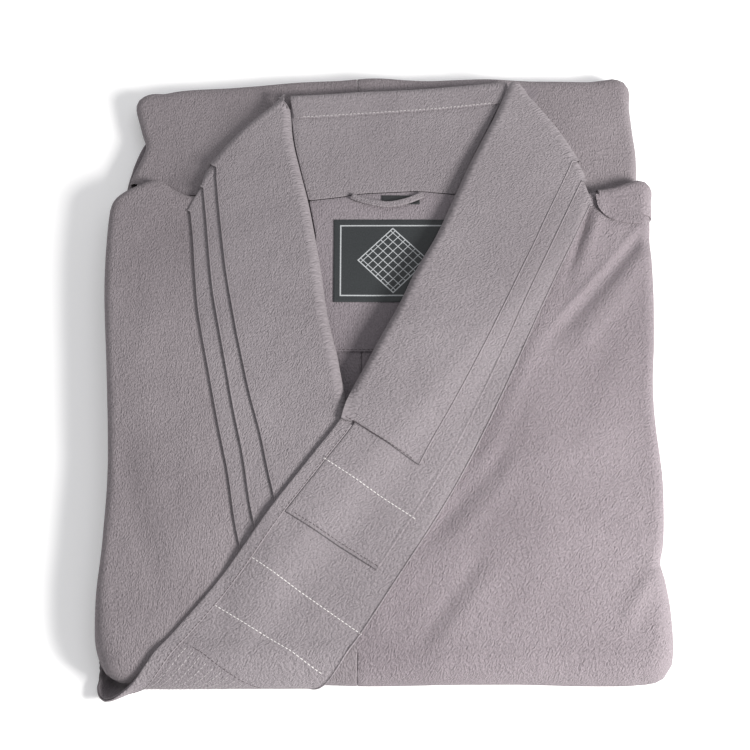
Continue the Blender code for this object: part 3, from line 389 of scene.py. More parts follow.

# %% [markdown]
# The main folds are given one row of numbers each: from the left shoulder down across the
# left front, along both fronts, and where the back meets the collar.

# %% Soft folds
# A fold rises over this many millimetres from this share of its strength, and fades in the same way
FOLD_RISE, FOLD_START, FOLD_FADE, FOLD_END = 30.0, 0.4, 45.0, 0.3
# Soft folds pulled into the fronts: start x, y, end x, y, half width, height
DRAG_FOLDS = [
    (203, 118, 124, 24, 2.6, 1.1), (206, 113, 130, 18, 5.5, -2.3), (208, 100, 142, 4, 9.0, 2.3),
    (163, 132, 143, 70, 3.2, -2.2), (172, 132, 154, 78, 4.0, 1.6), (130, 44, 66, -100, 6.0, 1.0),
    (96, -62, 30, -140, 6.0, -1.5), (104, -76, 40, -152, 8.0, 1.3), (76, -142, 28, -206, 6.0, -1.5),
    (86, -152, 38, -214, 8.0, 1.4), (190, 30, 150, -70, 16.0, 1.6), (196, -150, 168, -196, 6.0, 2.4),
    (-176, 40, -160, -120, 14.0, 1.2), (-182, -60, -150, -170, 10.0, -1.2),
]
# The back lies up against the right collar, and dips beside the left one
BACK_FOLDS = [(-78, 214, -172, 96, 25.0, 6.2), (104, 252, 176, 138, 28.0, -3.0)]
print("folds:", len(DRAG_FOLDS) + len(BACK_FOLDS))

# %% [markdown]
# ## Heights over the plan
#
# The chest part is a low cushion of cloth with its crown in the middle. The back lies lower where it
# shows beyond the collar, and the neck is a hollow. The left collar is raised where it crosses the
# three steps of the right one.

# %% Height functions
COARSE, FINE = 13.5, 2.2
RIGHT, LEFT = np.array(RIGHT_ROWS, float), np.array(LEFT_ROWS, float)


def eased(value):
    """Smooth step from 0 to 1."""
    share = np.clip(value, 0.0, 1.0)
    return share * share * (3.0 - 2.0 * share)


def ridge(x, y, fold):
    """Height of one soft fold, from a row of the tables of folds."""
    x0, y0, x1, y1, half_width, height = fold
    length = math.hypot(x1 - x0, y1 - y0)
    along = ((x - x0) * (x1 - x0) + (y - y0) * (y1 - y0)) / length
    aside = ((x - x0) * (y1 - y0) - (y - y0) * (x1 - x0)) / length
    inside = eased(along / FOLD_RISE + FOLD_START) * eased((length - along) / FOLD_FADE + FOLD_END)
    return height * inside * np.exp(-((aside / half_width) ** 2))


def chest_base(x, y):
    crown = (
        eased((x - CHEST_LEFT) / CROWN_REACH) * eased((CHEST_RIGHT - x) / CROWN_REACH)
        * eased((y - CHEST_LOW) / CROWN_REACH) * eased((CHEST_HIGH - y) / CROWN_REACH)
    )
    return EDGE_HEIGHT + CROWN * crown - CHEST_DROP * eased((y - CHEST_DROP_Y) / CHEST_DROP_REACH)


def chest_top(x, y):
    return chest_base(x, y) + sum(ridge(x, y, fold) for fold in DRAG_FOLDS)


def lower_top(x, y):
    sides = eased((x - BACK_LEFT) / BACK_SIDE_REACH) * eased((BACK_RIGHT - x) / BACK_SIDE_REACH)
    return LOWER_HEIGHT + LOWER_CROWN * (sides * eased((BACK_HIGH - y) / BACK_HIGH_REACH))


def back_top(x, y):
    return lower_top(x, y) + sum(ridge(x, y, fold) for fold in BACK_FOLDS)


def neck_floor(x, y):
    rise = NECK_RISE * eased((y - NECK_RISE_Y) / NECK_RISE_REACH)
    return NECK_DEPTH + rise + NECK_LIFT * eased((y - NECK_LIFT_Y) / NECK_LIFT_REACH)


def over_right_collar(x, y):
    inner = np.interp(y, RIGHT[::-1, 1], RIGHT[::-1, 0])
    outer = np.interp(y, RIGHT[::-1, 3], RIGHT[::-1, 2])
    across = (inner - x) / (inner - outer)
    raised = np.clip(OVER_STEPS - OVER_SLOPE * (across - TOP_SHARE), 0.0, OVER_STEPS)
    start, end = RIGHT[-1, :2], RIGHT[-1, 2:]
    run = (end - start) / np.linalg.norm(end - start)
    past = (y - start[1]) * run[0] - (x - start[0]) * run[1]
    return raised * (1 - eased((past - OVER_END) / OVER_FADE))


def left_top(x, y):
    return chest_top(x, y) + over_right_collar(x, y)


print("chest height in the middle, mm:", round(float(chest_top(0.0, 0.0)), 1))

# %% [markdown]
# ## Rumples
#
# Real cloth is never flat. Between the listed folds and the fine crinkle of the material
# lie soft rumples 10 to 40 mm wide. They are gradient noise over the plan: each grid corner gets a
# fixed random slope, and the slopes are blended. All the layers of the pile share them, so that
# layers which lie on each other rise and fall together and never cut through.

# %% Rumples over the plan
SLOPES = np.random.default_rng(7).normal(size=(64, 64, 2))
# Each size of rumple: height and width in mm, turn in radians, stretch
RUMPLES = [(0.9, 52.0, 0.0, 1.0), (0.3, 22.0, 0.9, 1.9), (0.08, 10.0, 0.6, 1.5)]


def rumple(x, y, size, turn=0.0, stretch=1.0):
    """Gradient noise, about -0.5 to 0.5, with cells of this size, longer along the turned direction."""
    c, s = math.cos(turn), math.sin(turn)
    u, v = (x * c + y * s) / (size * stretch) + 31.7, (y * c - x * s) / size + 17.3
    i, j = np.floor(u).astype(int), np.floor(v).astype(int)
    fu, fv = u - i, v - j

    def corner(di, dj):
        slope = SLOPES[(i + di) % 64, (j + dj) % 64]
        return slope[..., 0] * (fu - di) + slope[..., 1] * (fv - dj)

    su, sv = fu * fu * fu * (fu * (fu * 6 - 15) + 10), fv * fv * fv * (fv * (fv * 6 - 15) + 10)
    low = corner(0, 0) * (1 - su) + corner(1, 0) * su
    high = corner(0, 1) * (1 - su) + corner(1, 1) * su
    return (low * (1 - sv) + high * sv) * 0.7


def rumples(x, y):
    """Soft rumples of the pile: wide ones, and narrower ones that run across the fronts."""
    return sum(height * rumple(x, y, *shape) for height, *shape in RUMPLES)


print("rumples within, mm:", round(float(np.abs(rumples(*np.mgrid[-200:200:5, -200:200:5])).max()), 2))

# %% [markdown]
# ## Laying cloth on a rounded pile
#
# A skin is the outside of a folded pile: a top surface, and a round edge beyond the roll line. Cloth
# is drawn flat in plan, and a point that lies beyond the roll line is carried round the edge by the
# same distance, so no piece is stretched. A pattern is one piece in plan: a grid between four
# borders, with skirts that carry on round the edge.

# %% Lines and curves
def lengths(line):
    """How far along a line each of its points lies."""
    return np.concatenate([[0], np.cumsum(np.linalg.norm(np.diff(line[:, :2], axis=0), axis=1))])


def at(line, shares):
    """Points of a line at these shares of its length."""
    along = lengths(line)
    return np.column_stack([np.interp(np.asarray(shares) * along[-1], along, c) for c in line.T])


def spread(line, count):
    """This many points, evenly spaced along a line."""
    return at(np.asarray(line), np.linspace(0, 1, count))


def unit(vectors):
    """The vectors, each one unit long."""
    return vectors / np.maximum(np.linalg.norm(vectors, axis=-1, keepdims=True), 1e-6)


def plan_area(points):
    """Area within an outline, seen from above."""
    x, y = points[:, 0], points[:, 1]
    return abs(np.sum(x * np.roll(y, -1) - np.roll(x, -1) * y)) / 2


def between_lines(low, high):
    """Faces between two rows of point numbers."""
    return [(low[i], low[i + 1], high[i + 1], high[i]) for i in range(len(low) - 1)]


SPAN_POINTS = 24


def through(points, closed=False):
    """Dense points on a smooth curve through the given ones, with all their columns."""
    given = np.array(points, float)
    if closed:
        given = np.vstack([given[-1], given, given[0], given[1]])
    else:
        given = np.vstack([2 * given[0] - given[1], given, 2 * given[-1] - given[-2]])
    share = np.linspace(0, 1, SPAN_POINTS, endpoint=False)[:, None]
    stretches = [
        0.5 * (2 * start + (end - before) * share
               + (2 * before - 5 * start + 4 * end - after) * share**2
               + (3 * start - before - 3 * end + after) * share**3)
        for before, start, end, after in zip(given, given[1:], given[2:], given[3:])
    ]
    return np.vstack(stretches + [given[-2][None]])


def smooth_line(points, closed=False, step=FINE):
    """Evenly spaced points on the curve through the given ones."""
    dense = through(points, closed)
    count = max(4, int(lengths(dense)[-1] / step))
    return at(dense, np.linspace(0, 1, count, endpoint=not closed))


print("points from one given point to the next:", SPAN_POINTS)


# %% [markdown]
# A skin keeps the stations of its roll line, each with its radius and the way outwards. To lay a
# point, it looks for the nearest place on that line. Within it the point goes straight up to the
# top surface, and beyond it round the edge.

# %% A skin
class Skin:
    """A top surface with a rounded edge. Its stations are set coarse, as on the solids, and then refined."""

    def __init__(self, outline, top, stack=CLOTH):
        edge = smooth_line(outline, closed=True, step=COARSE)
        ahead = np.roll(edge[:, :2], -1, axis=0) - np.roll(edge[:, :2], 1, axis=0)
        outward = unit(np.column_stack([ahead[:, 1], -ahead[:, 0]]))
        line = edge[:, :2] - outward * (edge[:, 2:3] + stack)
        fine = smooth_line(np.column_stack([line, edge[:, 2], outward, edge[:, :2]]), closed=True)
        self.line, self.radius, self.outward, self.edge = fine[:, :2], fine[:, 2], fine[:, 3:5], fine[:, 5:]
        self.top = top

    def part(self, start, end):
        """The roll line from its station nearest to start, anticlockwise, to the one nearest to end."""
        first = int(np.argmin(np.linalg.norm(self.edge - np.array(start), axis=1)))
        last = int(np.argmin(np.linalg.norm(self.edge - np.array(end), axis=1)))
        count = (last - first) % len(self.line) + 1
        return self.line[[(first + k) % len(self.line) for k in range(count)]]

    def nearest(self, points):
        """For each plan point: its foot on the roll line, direction, distance outside and radius there."""
        start, run = self.line, np.roll(self.line, -1, axis=0) - self.line
        squared = (run**2).sum(1)
        found = []
        for some in np.array_split(points, max(1, len(points) // 1500)):
            share = np.clip(((some[:, None] - start) * run).sum(2) / squared, 0, 1)
            feet = start + share[..., None] * run
            gaps = np.linalg.norm(some[:, None] - feet, axis=2)
            k, row = gaps.argmin(1), np.arange(len(some))
            found.append(np.column_stack([feet[row, k], share[row, k], k, gaps[row, k]]))
        found = np.vstack(found)
        foot, s, k, gap = found[:, :2], found[:, 2:3], found[:, 3].astype(int), found[:, 4]
        nxt = (k + 1) % len(self.line)
        away = unit(self.outward[k] * (1 - s) + self.outward[nxt] * s)
        offset = points - foot
        outside = (offset * away).sum(1) > 0
        clear = outside & (gap > 0.5)
        away[clear] = offset[clear] / gap[clear][:, None]
        radius = self.radius[k] * (1 - s[:, 0]) + self.radius[nxt] * s[:, 0]
        return foot, away, np.where(outside, gap, 0.0), radius

    def surface(self, plan):
        """Returns a function that gives the plan points laid on the skin at a lift along its normal."""
        shape = np.shape(plan)[:-1]
        points = np.reshape(plan, (-1, 2)).astype(float)
        foot, away, beyond, radius = self.nearest(points)
        turn = np.minimum(beyond / radius, math.pi)
        foot_height = self.top(foot[:, 0], foot[:, 1]) - radius
        top_height = self.top(points[:, 0], points[:, 1])
        loose = rumples(points[:, 0], points[:, 1]) * (1 - 0.75 * eased(turn / 2.2))

        def laid(lift):
            lift = np.broadcast_to(lift, shape).reshape(-1) + loose
            out, up = (radius + lift) * np.sin(turn), foot_height + (radius + lift) * np.cos(turn)
            rolled = np.column_stack([foot + away * out[:, None], up])
            flat = np.column_stack([points, top_height + lift])
            return np.where((beyond > 0)[:, None], rolled, flat).reshape(*shape, 3)

        laid.beyond = beyond.reshape(shape)
        return laid


print("a skin refines its edge to one station in", FINE, "mm")

# %% [markdown]
# A pattern numbers its points row by row, so that its borders are easy to name. A skirt adds rings
# of points beyond a border, which the skin then carries round the edge.

# %% A pattern
ROLL_STEPS = np.linspace(0, 1, 13)[1:]


class Pattern:
    """A cloth piece in plan: a grid of points, with skirts round the pile's edge."""

    def __init__(self, grid):
        rows, columns = grid.shape[:2]
        self.points = list(grid.reshape(-1, 2))
        self.index = np.arange(rows * columns).reshape(rows, columns)
        i = self.index
        self.faces = sum((between_lines(i[r], i[r + 1]) for r in range(rows - 1)), [])

    def skirt(self, border, skin, reach, ahead=None):
        """Carries the piece on from these border points, on the roll line, by reach degrees.

        It goes straight out, or the way that ahead gives for each point.
        """
        foot, away, _, radius = skin.nearest(np.array([self.points[i] for i in border]))
        turn = np.radians(reach(foot[:, 0], foot[:, 1]))
        if ahead is not None:
            away = ahead / np.maximum((ahead * away).sum(1), 0.6)[:, None]
        previous = list(border)
        for share in ROLL_STEPS:
            first = len(self.points)
            self.points += list(foot + away * (radius * turn * share)[:, None])
            ring = list(range(first, len(self.points)))
            self.faces += between_lines(previous, ring)
            previous = ring


def patch(left, right, low, high):
    """A grid between four borders. Left and right run from low to high, the others from left to right."""
    u, v = np.linspace(0, 1, len(low))[None, :, None], np.linspace(0, 1, len(left))[:, None, None]
    ruled = left[:, None] * (1 - u) + right[:, None] * u + low[None] * (1 - v) + high[None] * v
    corners = (
        low[0] * (1 - u) * (1 - v) + low[-1] * u * (1 - v) + high[0] * (1 - u) * v + high[-1] * u * v
    )
    return ruled - corners


print("rings of a skirt:", len(ROLL_STEPS))

# %% [markdown]
# ## From pattern to sheet
#
# Each piece is two surfaces a cloth's thickness apart, joined round the border by a rounded rim, as
# a turned edge looks. Its map called cloth holds the flat pattern in metres for the material.

# %% A mesh, and a sheet with a turned edge
RIM = np.radians([45, 0, -45])
MAP_SHIFT = 500.0
sheets = []


def mesh_object(name, verts, faces, uvs, material, smooth=60.0):
    """An object from points in plan millimetres, with a map that gives each point its place on the cloth."""
    verts = (np.asarray(verts, float) - np.array([*PLAN_MIDDLE, 0.0])) * MM
    mesh = bpy.data.meshes.new(name)
    mesh.from_pydata([tuple(v) for v in verts], [], [tuple(int(i) for i in f) for f in faces])
    layer = mesh.uv_layers.new(name="cloth")
    corner_points = np.zeros(len(mesh.loops), np.int64)
    mesh.loops.foreach_get("vertex_index", corner_points)
    layer.data.foreach_set("uv", (np.asarray(uvs, float) * MM)[corner_points].ravel())
    mesh.validate()
    shell = bmesh.new()
    shell.from_mesh(mesh)
    bmesh.ops.recalc_face_normals(shell, faces=shell.faces)
    shell.to_mesh(mesh)
    shell.free()
    mesh.shade_smooth()
    mesh.set_sharp_from_angle(angle=math.radians(smooth))
    obj = bpy.data.objects.new(name, mesh)
    obj.data.materials.append(material)
    bpy.context.scene.collection.objects.link(obj)
    return obj


def cloth(name, pattern, surface_of, lift, material, thick=CLOTH, grain=0.0,
          strip=None):
    """A sheet from a pattern. surface_of lays plan points; lift is a number or an array per point."""
    plan = np.array(pattern.points)
    count, half = len(plan), thick / 2
    edges = {}
    for face in pattern.faces:
        for a, b in zip(face, face[1:] + face[:1]):
            key = (min(a, b), max(a, b))
            edges[key] = None if key in edges else (a, b)
    border = [e for e in edges.values() if e]
    start, end = plan[[a for a, _ in border]], plan[[b for _, b in border]]
    turn = np.sign((start[:, 0] * end[:, 1] - start[:, 1] * end[:, 0]).sum())
    side = np.column_stack([end[:, 1] - start[:, 1], start[:, 0] - end[:, 0]]) * turn
    outward = np.zeros_like(plan)
    for way, (a, b) in zip(side, border):
        outward[a] += way
        outward[b] += way
    rim = np.unique([i for edge in border for i in edge])
    outward[rim] = unit(outward[rim])
    place = {old: new for new, old in enumerate(rim)}
    lift = np.broadcast_to(lift(plan[:, 0], plan[:, 1]) if callable(lift) else lift, count)
    inset = plan - outward * half
    laid = surface_of(inset)
    layers = [laid(lift + thick), laid(lift)]
    for angle in RIM:
        ring = plan[rim] - outward[rim] * half * (1 - math.cos(angle))
        layers.append(surface_of(ring)(lift[rim] + half + half * math.sin(angle)))
    faces = [tuple(reversed(f)) for f in pattern.faces]
    faces = [tuple(i + count for i in f) for f in faces] + list(pattern.faces)
    bases = [2 * count + k * len(rim) for k in range(len(RIM))]
    for a, b in border:
        chain_a = [a, *[base + place[a] for base in bases], a + count]
        chain_b = [b, *[base + place[b] for base in bases], b + count]
        faces += [
            (chain_b[k], chain_a[k], chain_a[k + 1], chain_b[k + 1]) for k in range(len(chain_a) - 1)
        ]
    flat = np.vstack([plan, plan, *[plan[rim]] * len(RIM)])
    c, s = math.cos(math.radians(grain)), math.sin(math.radians(grain))
    uvs = np.column_stack([flat[:, 0] * c + flat[:, 1] * s, flat[:, 1] * c - flat[:, 0] * s]) + MAP_SHIFT
    obj = mesh_object(name, np.vstack(layers), faces, uvs, material)
    cut = sum(plan_area(plan[list(face)]) for face in pattern.faces)
    spans = np.ptp(uvs[:count], axis=0) * MM
    if strip:
        spans = np.array([strip, cut / strip]) * MM
    spans = np.maximum(spans, 0.01)
    area = min(cut * MM * MM, spans[0] * spans[1])
    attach(obj, "root")
    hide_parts(name.removesuffix("_cloth"))
    sheets.append((name, spans, area, len(obj.data.polygons)))
    print(f"{name}: cut {spans[0] * 1000:.0f} x {spans[1] * 1000:.0f} mm, {area * 1e4:.0f} cm2")
    return obj


print("points round a turned edge:", len(RIM))

# %% [markdown]
# ## The fronts
#
# The right front goes from the shoulder round the side and the bottom corner. The left front lies
# beside it, with a narrow panel sewn on before its collar. They roll round the edge of the pile and
# back under it, less far at the shoulders, where they lie on the back. The head of the left sleeve
# is turned forward over its shoulder as a small flap.

# %% Fronts, panel and sleeve head
chest = Skin(FRONT_OUTLINE, chest_top)


def side_reach(x, y):
    return ROLL_REACH + (SHOULDER_REACH - ROLL_REACH) * eased((y - SHOULDER_Y) / SHOULDER_EASE)


def front_right():
    high = chest.part((-86, 142), (-196, 145))[::-1]
    side = chest.part((-196, 145), (-165, -229))
    low = spread(chest.part((-165, -229), (-105, -229)), len(high))
    end = spread(smooth_line(RIGHT_FRONT_END), len(side))
    end[0], end[-1] = high[-1], low[-1]
    pattern = Pattern(patch(side, end, high, low))
    index = pattern.index
    pattern.skirt(list(index[0, ::-1]) + list(index[1:, 0]) + list(index[-1, 1:]), chest, side_reach)
    return cloth("front_right_cloth", pattern, chest.surface, 0.0, COTTON, grain=-4.0)


def front_left():
    low = chest.part((PANEL_SEAM_X, -230), (172, -230))
    side = chest.part((172, -230), (186, 150))[::-1]
    high = chest.part((186, 150), (122, 142))[::-1]
    count = max(len(low), len(high))
    low, high = spread(low, count), spread(high, count)
    low[0, 0] = PANEL_SEAM_X + GAP / 2
    end = spread(np.vstack([smooth_line(LEFT_FRONT_END), [low[0]]]), len(side))
    end[0], end[-1] = high[0], low[0]
    pattern = Pattern(patch(end, side, high, low))
    index = pattern.index
    border = list(index[0, :-1]) + list(index[:-1, -1]) + list(index[-1, ::-1])
    pattern.skirt(border, chest, side_reach)
    return cloth("front_left_cloth", pattern, chest.surface, 0.0, COTTON_DRAWN, grain=6.0)


def front_left_panel():
    corners = np.array([(PANEL_SEAM_X - GAP / 2, PANEL_LOW), (PANEL_END[-1][0], PANEL_LOW)], float)
    foot, _, _, _ = chest.nearest(corners)
    tip = np.array(PANEL_END[0], float)
    shares = np.linspace(0, PANEL_TIP_SHARE, 44)
    slope = at(np.array([foot[1], PANEL_END[1], tip]), shares)
    straight = foot[0] + (tip - foot[0]) * shares[:, None]
    across = np.linspace(0, 1, 30)[None, :, None]
    pattern = Pattern(slope[:, None] * (1 - across) + straight[:, None] * across)
    pattern.skirt(list(pattern.index[0]), chest, side_reach)
    return cloth("front_left_panel_cloth", pattern, chest.surface, 0.0, COTTON)


def sleeve_left():
    high = chest.part((186, 150), (168, 146))[::-1]
    side = chest.part((209, 124), (186, 150))[::-1]
    high = spread(high, 20)
    low = spread(smooth_line([*SLEEVE_EDGE, tuple(side[-1])]), len(high))
    left = spread([high[0], low[0]], len(side))
    pattern = Pattern(patch(left, side, high, low))
    index = pattern.index
    pattern.skirt(list(index[0, :-1]) + list(index[:, -1]), chest, side_reach)
    edge = smooth_line(SLEEVE_EDGE)

    def lifted(x, y):
        apart = np.hypot(x[:, None] - edge[:, 0], y[:, None] - edge[:, 1]).min(axis=1)
        return STEP + FLAP_LIFT * np.exp(-((apart / FLAP_SPREAD) ** 2))

    return cloth("sleeve_left_cloth", pattern, chest.surface, lifted, COTTON_DRAWN, grain=50.0)


front_right()
front_left()
front_left_panel()
sleeve_left()

# %% [markdown]
# ## The back
#
# Beyond the collar the outside of the back shows, in two halves with the centre seam between them.
# It lies lower than the chest and rolls round the top edge of the pile.

# %% Two halves of the back
back = Skin(BACK_OUTLINE, back_top)


def back_half(name, side):
    """One half of the back, from the tuck under the fronts to the top fold; side is 1 for the left half."""
    tuck = smooth_line(BACK_TUCK)
    seam = BACK_SEAM_X + side * GAP / 2
    if side > 0:
        high = back.part((202, 250), (seam, 255))
        end = back.part((203, 155), (202, 250))
    else:
        high = back.part((seam, 255), (-187, 236))[::-1]
        end = back.part((-187, 236), (-188, 158))[::-1]
    high[-1, 0] = seam
    low = tuck[(tuck[:, 0] - seam) * side > 0]
    low = spread(low if side > 0 else low[::-1], len(high))
    low[-1, 0] = seam
    low[0] = end[0]
    seam_line = spread([low[-1], high[-1]], len(end))
    pattern = Pattern(patch(end, seam_line, low, high))
    index = pattern.index
    pattern.skirt(list(index[:, 0]) + list(index[-1, 1:]), back, lambda x, y: ROLL_REACH)
    return cloth(name, pattern, back.surface, 0.0, COTTON, grain=4.0 * side)


back_half("back_left_cloth", 1)
back_half("back_right_cloth", -1)

# %% [markdown]
# ## The collar
#
# A robe like this has a collar of three layers, each narrower than the one under it, which show as
# steps. It turns over beside the neck, runs straight down, and the left one crosses over the right.
# The left collar's top and middle layers end in square ends, and the base goes on with a narrow
# binding along its free edge, round the bottom corner of the pile. The layers share one grid in
# plan: straight rows across the collar, and columns along its edges.

# %% The collar's grid
COLUMNS = np.unique(np.round(np.concatenate([
    [0, 0.04, 0.5, 0.96, 1], np.linspace(1, 2, 25), [1.98], np.linspace(2, 3, 7), [2.9],
    np.linspace(3, 4, 7), [3.92],
]), 4))
# A turned and topstitched edge stands up a little, and dips along its row of stitches
EDGE_RIDGE, STITCH_DIP = 0.5, -0.18


def turn_points(rows, shares, side):
    """Points on the bowed line where a collar turns over, from its inner to its outer end."""
    start, end = rows[0, :2], rows[0, 2:]
    run = end - start
    aside = np.array([-run[1], run[0]]) / np.hypot(*run)
    aside *= np.sign(aside[1])
    s = np.asarray(shares)[:, None]
    return start + run * s + aside * TURN_BOW[side] * 4 * s * (1 - s)


def collar_skin(rows, top, side):
    """A skin whose roll line is the collar's inner edge and its turn; the rest lies far outside."""
    sign = 1 if side == "left" else -1
    inner = [tuple(row[:2]) for row in rows if row[1] > -70]
    turn = [tuple(point) for point in turn_points(rows, np.linspace(0, 1, 7)[1:], side)]
    turn.append(tuple(rows[0, 2:] * 1.3 - rows[0, :2] * 0.3))
    below = (inner[-1][0] - 5 * sign, inner[-1][1] - 60)
    outline = [below, *inner[::-1], *turn, (320 * sign, 20), (320 * sign, -300), (below[0], -300)]
    if sign > 0:
        outline = outline[::-1]
    return Skin([(x, y, COLLAR_FOLD) for x, y in outline], top, COLLAR_STACK)


def row_line(rows, numbers):
    """The rows at these numbers, on smooth curves through the given rows."""
    dense = through(rows)
    known = np.arange(len(dense)) / SPAN_POINTS
    return np.column_stack([np.interp(numbers, known, column) for column in dense.T])


def between_rows(grid, numbers, wanted):
    """The grid's points at these row numbers, one for each column, between its own rows."""
    place = np.interp(wanted, numbers, np.arange(len(numbers)))
    row = np.minimum(place.astype(int), len(numbers) - 2)
    share, column = (place - row)[..., None], np.arange(grid.shape[1])[None]
    return grid[row, column] * (1 - share) + grid[row + 1, column] * share


def collar_grid(skin, rows, numbers, rolled_until):
    """The collar's grid. Its first row lies where each column meets the roll line of the turn."""
    ends = row_line(rows, numbers)
    inner, outer = ends[:, :2], ends[:, 2:]
    feet, _, _, _ = skin.nearest(inner)
    flat = eased((numbers - rolled_until) / 0.5)[:, None]
    inner = feet * (1 - flat) + inner * flat
    width = np.linalg.norm(outer - inner, axis=1)
    top_share = np.interp(numbers, [4, TOP_END_ROW], [TOP_SHARE, TOP_SHARE_AT_END])
    shares = np.array([
        np.interp(COLUMNS, [0, 1, 2, 3, 4], [0, BINDING_WIDTH / across, top, MIDDLE_SHARE, 1])
        for across, top in zip(width, top_share)
    ])[..., None]
    grid = inner[:, None] * (1 - shares) + outer[:, None] * shares
    looked_at = np.linspace(0, TURN_ROWS, 80)
    path = between_rows(grid, numbers, np.repeat(looked_at[:, None], len(COLUMNS), axis=1))
    _, _, beyond, _ = skin.nearest(path.reshape(-1, 2))
    moved = np.linalg.norm(path - path[:1], axis=2) > 0.5
    inside = (beyond.reshape(path.shape[:2]) < 0.25) & moved
    crossing = looked_at[inside.argmax(axis=0)]
    squeezed = crossing + numbers[:, None] * (1 - crossing / TURN_ROWS)
    return between_rows(grid, numbers, np.where(numbers[:, None] < TURN_ROWS, squeezed, numbers[:, None]))


print("columns across a collar:", len(COLUMNS))

# %% [markdown]
# The inner edge rolls under beside the neck, so that the collar looks folded over and not cut off.
# At the shoulder it turns over as a whole. The numbers are degrees round the edge.

# %% How far the layers roll
INNER_ROLL, NECK_ROLL, PEAK_ROLL = 45.0, 60.0, 26.0
TURN_ROLL, TURN_ROLL_RISE, TOP_ROLL = 12.0, 86.0, 84.0


def on_turn(x):
    """1 where the collar turns over at the shoulder, 0 along its inner edge."""
    return eased((np.abs(x - COLLAR_MIDDLE_X) - COLLAR_HALF_GAP) / 12)


def collar_reach(x, y):
    """Degrees that a collar rolls round: at its inner edge, or where it turns over at the shoulder."""
    inner_edge = INNER_ROLL + NECK_ROLL * eased((y + 40) / 60) - PEAK_ROLL * eased((y - 145) / 70)
    turned = on_turn(x)
    return inner_edge * (1 - turned) + turned * (TURN_ROLL + TURN_ROLL_RISE * eased((y - 146) / 16))


def top_reach(x, y):
    return np.maximum(collar_reach(x, y), TOP_ROLL * (1 - on_turn(x)))


def corner_loop(x, y):
    """How far the band stands up where it loops round the bottom corner."""
    loop = CORNER_LOOP
    apart = np.hypot(x - loop["x"], y - loop["y"])
    return loop["lift"] * np.exp(-((apart / loop["spread"]) ** 2) / 2)


print("the inner edge beside the neck rolls, degrees:", round(float(collar_reach(-40.0, 60.0))))

# %% [markdown]
# The left collar lies on a skin of its own beside the neck, and on the chest's skin below. Its edge
# bows out a little into the neck, as the photographed one does.

# %% Skins of the collars
# The edge is let out into the lower neck, and a little more where it bows near the peak
LET_OUT, BOW_OUT, BOW_Y, BOW_SPREAD = 3.3, 2.0, 134, 20
right_skin = collar_skin(RIGHT, chest_top, "right")
left_skin = collar_skin(LEFT, left_top, "left")
on_chest = Skin(FRONT_OUTLINE, left_top)


def beside_neck(plan):
    """The left collar's own rolled skin, with its edge let out a little into the lower neck."""
    rolled = left_skin.surface(plan)
    x, y = plan[..., 0], plan[..., 1]
    inside = x - np.interp(y, LEFT[8::-1, 1], LEFT[8::-1, 0])
    let_out = LET_OUT * eased((y + 34) / 16) * eased((100 - y) / 40)
    let_out = let_out + BOW_OUT * np.exp(-(((y - BOW_Y) / BOW_SPREAD) ** 2))
    let_out = let_out * eased(1 - (inside - 8) / 28)
    return lambda lift: rolled(lift) - let_out[..., None] * np.array([1.0, 0, 0])


def left_surface(plan):
    """The left collar lies on its own rolled skin beside the neck, and on the chest's skin below it."""
    plan = np.asarray(plan, float)
    beside, below = beside_neck(plan), on_chest.surface(plan)
    slack = ROLL_SLACK * eased((ROLL_SLACK_Y - plan[..., 1]) / 8)
    raised = corner_loop(plan[..., 0], plan[..., 1]) + slack * (1 - 0.8 * eased((below.beyond - 24) / 14))
    low = (plan[..., 1] < LEFT_ON_CHEST_Y)[..., None]
    return lambda lift: np.where(low, below(lift + raised), beside(lift + raised))


def left_edge_surface(plan):
    """The left collar's top layer: its inner edge is rolled beside the neck, and opens out flat below it."""
    plan = np.asarray(plan, float)
    points = plan.reshape(-1, 2)
    foot, away, beyond, radius = left_skin.nearest(points)
    reach = radius * np.radians(top_reach(foot[:, 0], foot[:, 1]))
    spread = beyond * (1 - on_turn(foot[:, 0])) * (radius + COLLAR_STACK) / reach
    opened = np.where((beyond > 0)[:, None], foot + away * spread[:, None], points).reshape(plan.shape)
    rolled, flat = beside_neck(plan), on_chest.surface(opened)
    share = eased((plan[..., 1] + 38.0) / 30.0)[..., None]
    return lambda lift: rolled(lift) * share + flat(lift) * (1 - share)


print("stations of the collars' skins:", len(right_skin.line), len(left_skin.line))


# %% [markdown]
# Each layer is a part of the grid: the base reaches the outer edge, and the middle and top layers
# end short of it, one step higher each.

# %% Laying the layers of a collar
def numbers_between(last, marks, step):
    """Row numbers a step apart from 0 to the last, with the marks among them and none crowded."""
    rows = np.concatenate([np.arange(0, last, step), marks, [last]])
    rows = np.unique(np.round(rows, 4))
    keep = [0]
    for k in range(1, len(rows)):
        if rows[k] - rows[keep[-1]] > step * 0.45 or rows[k] in marks:
            keep.append(k)
    return rows[keep]


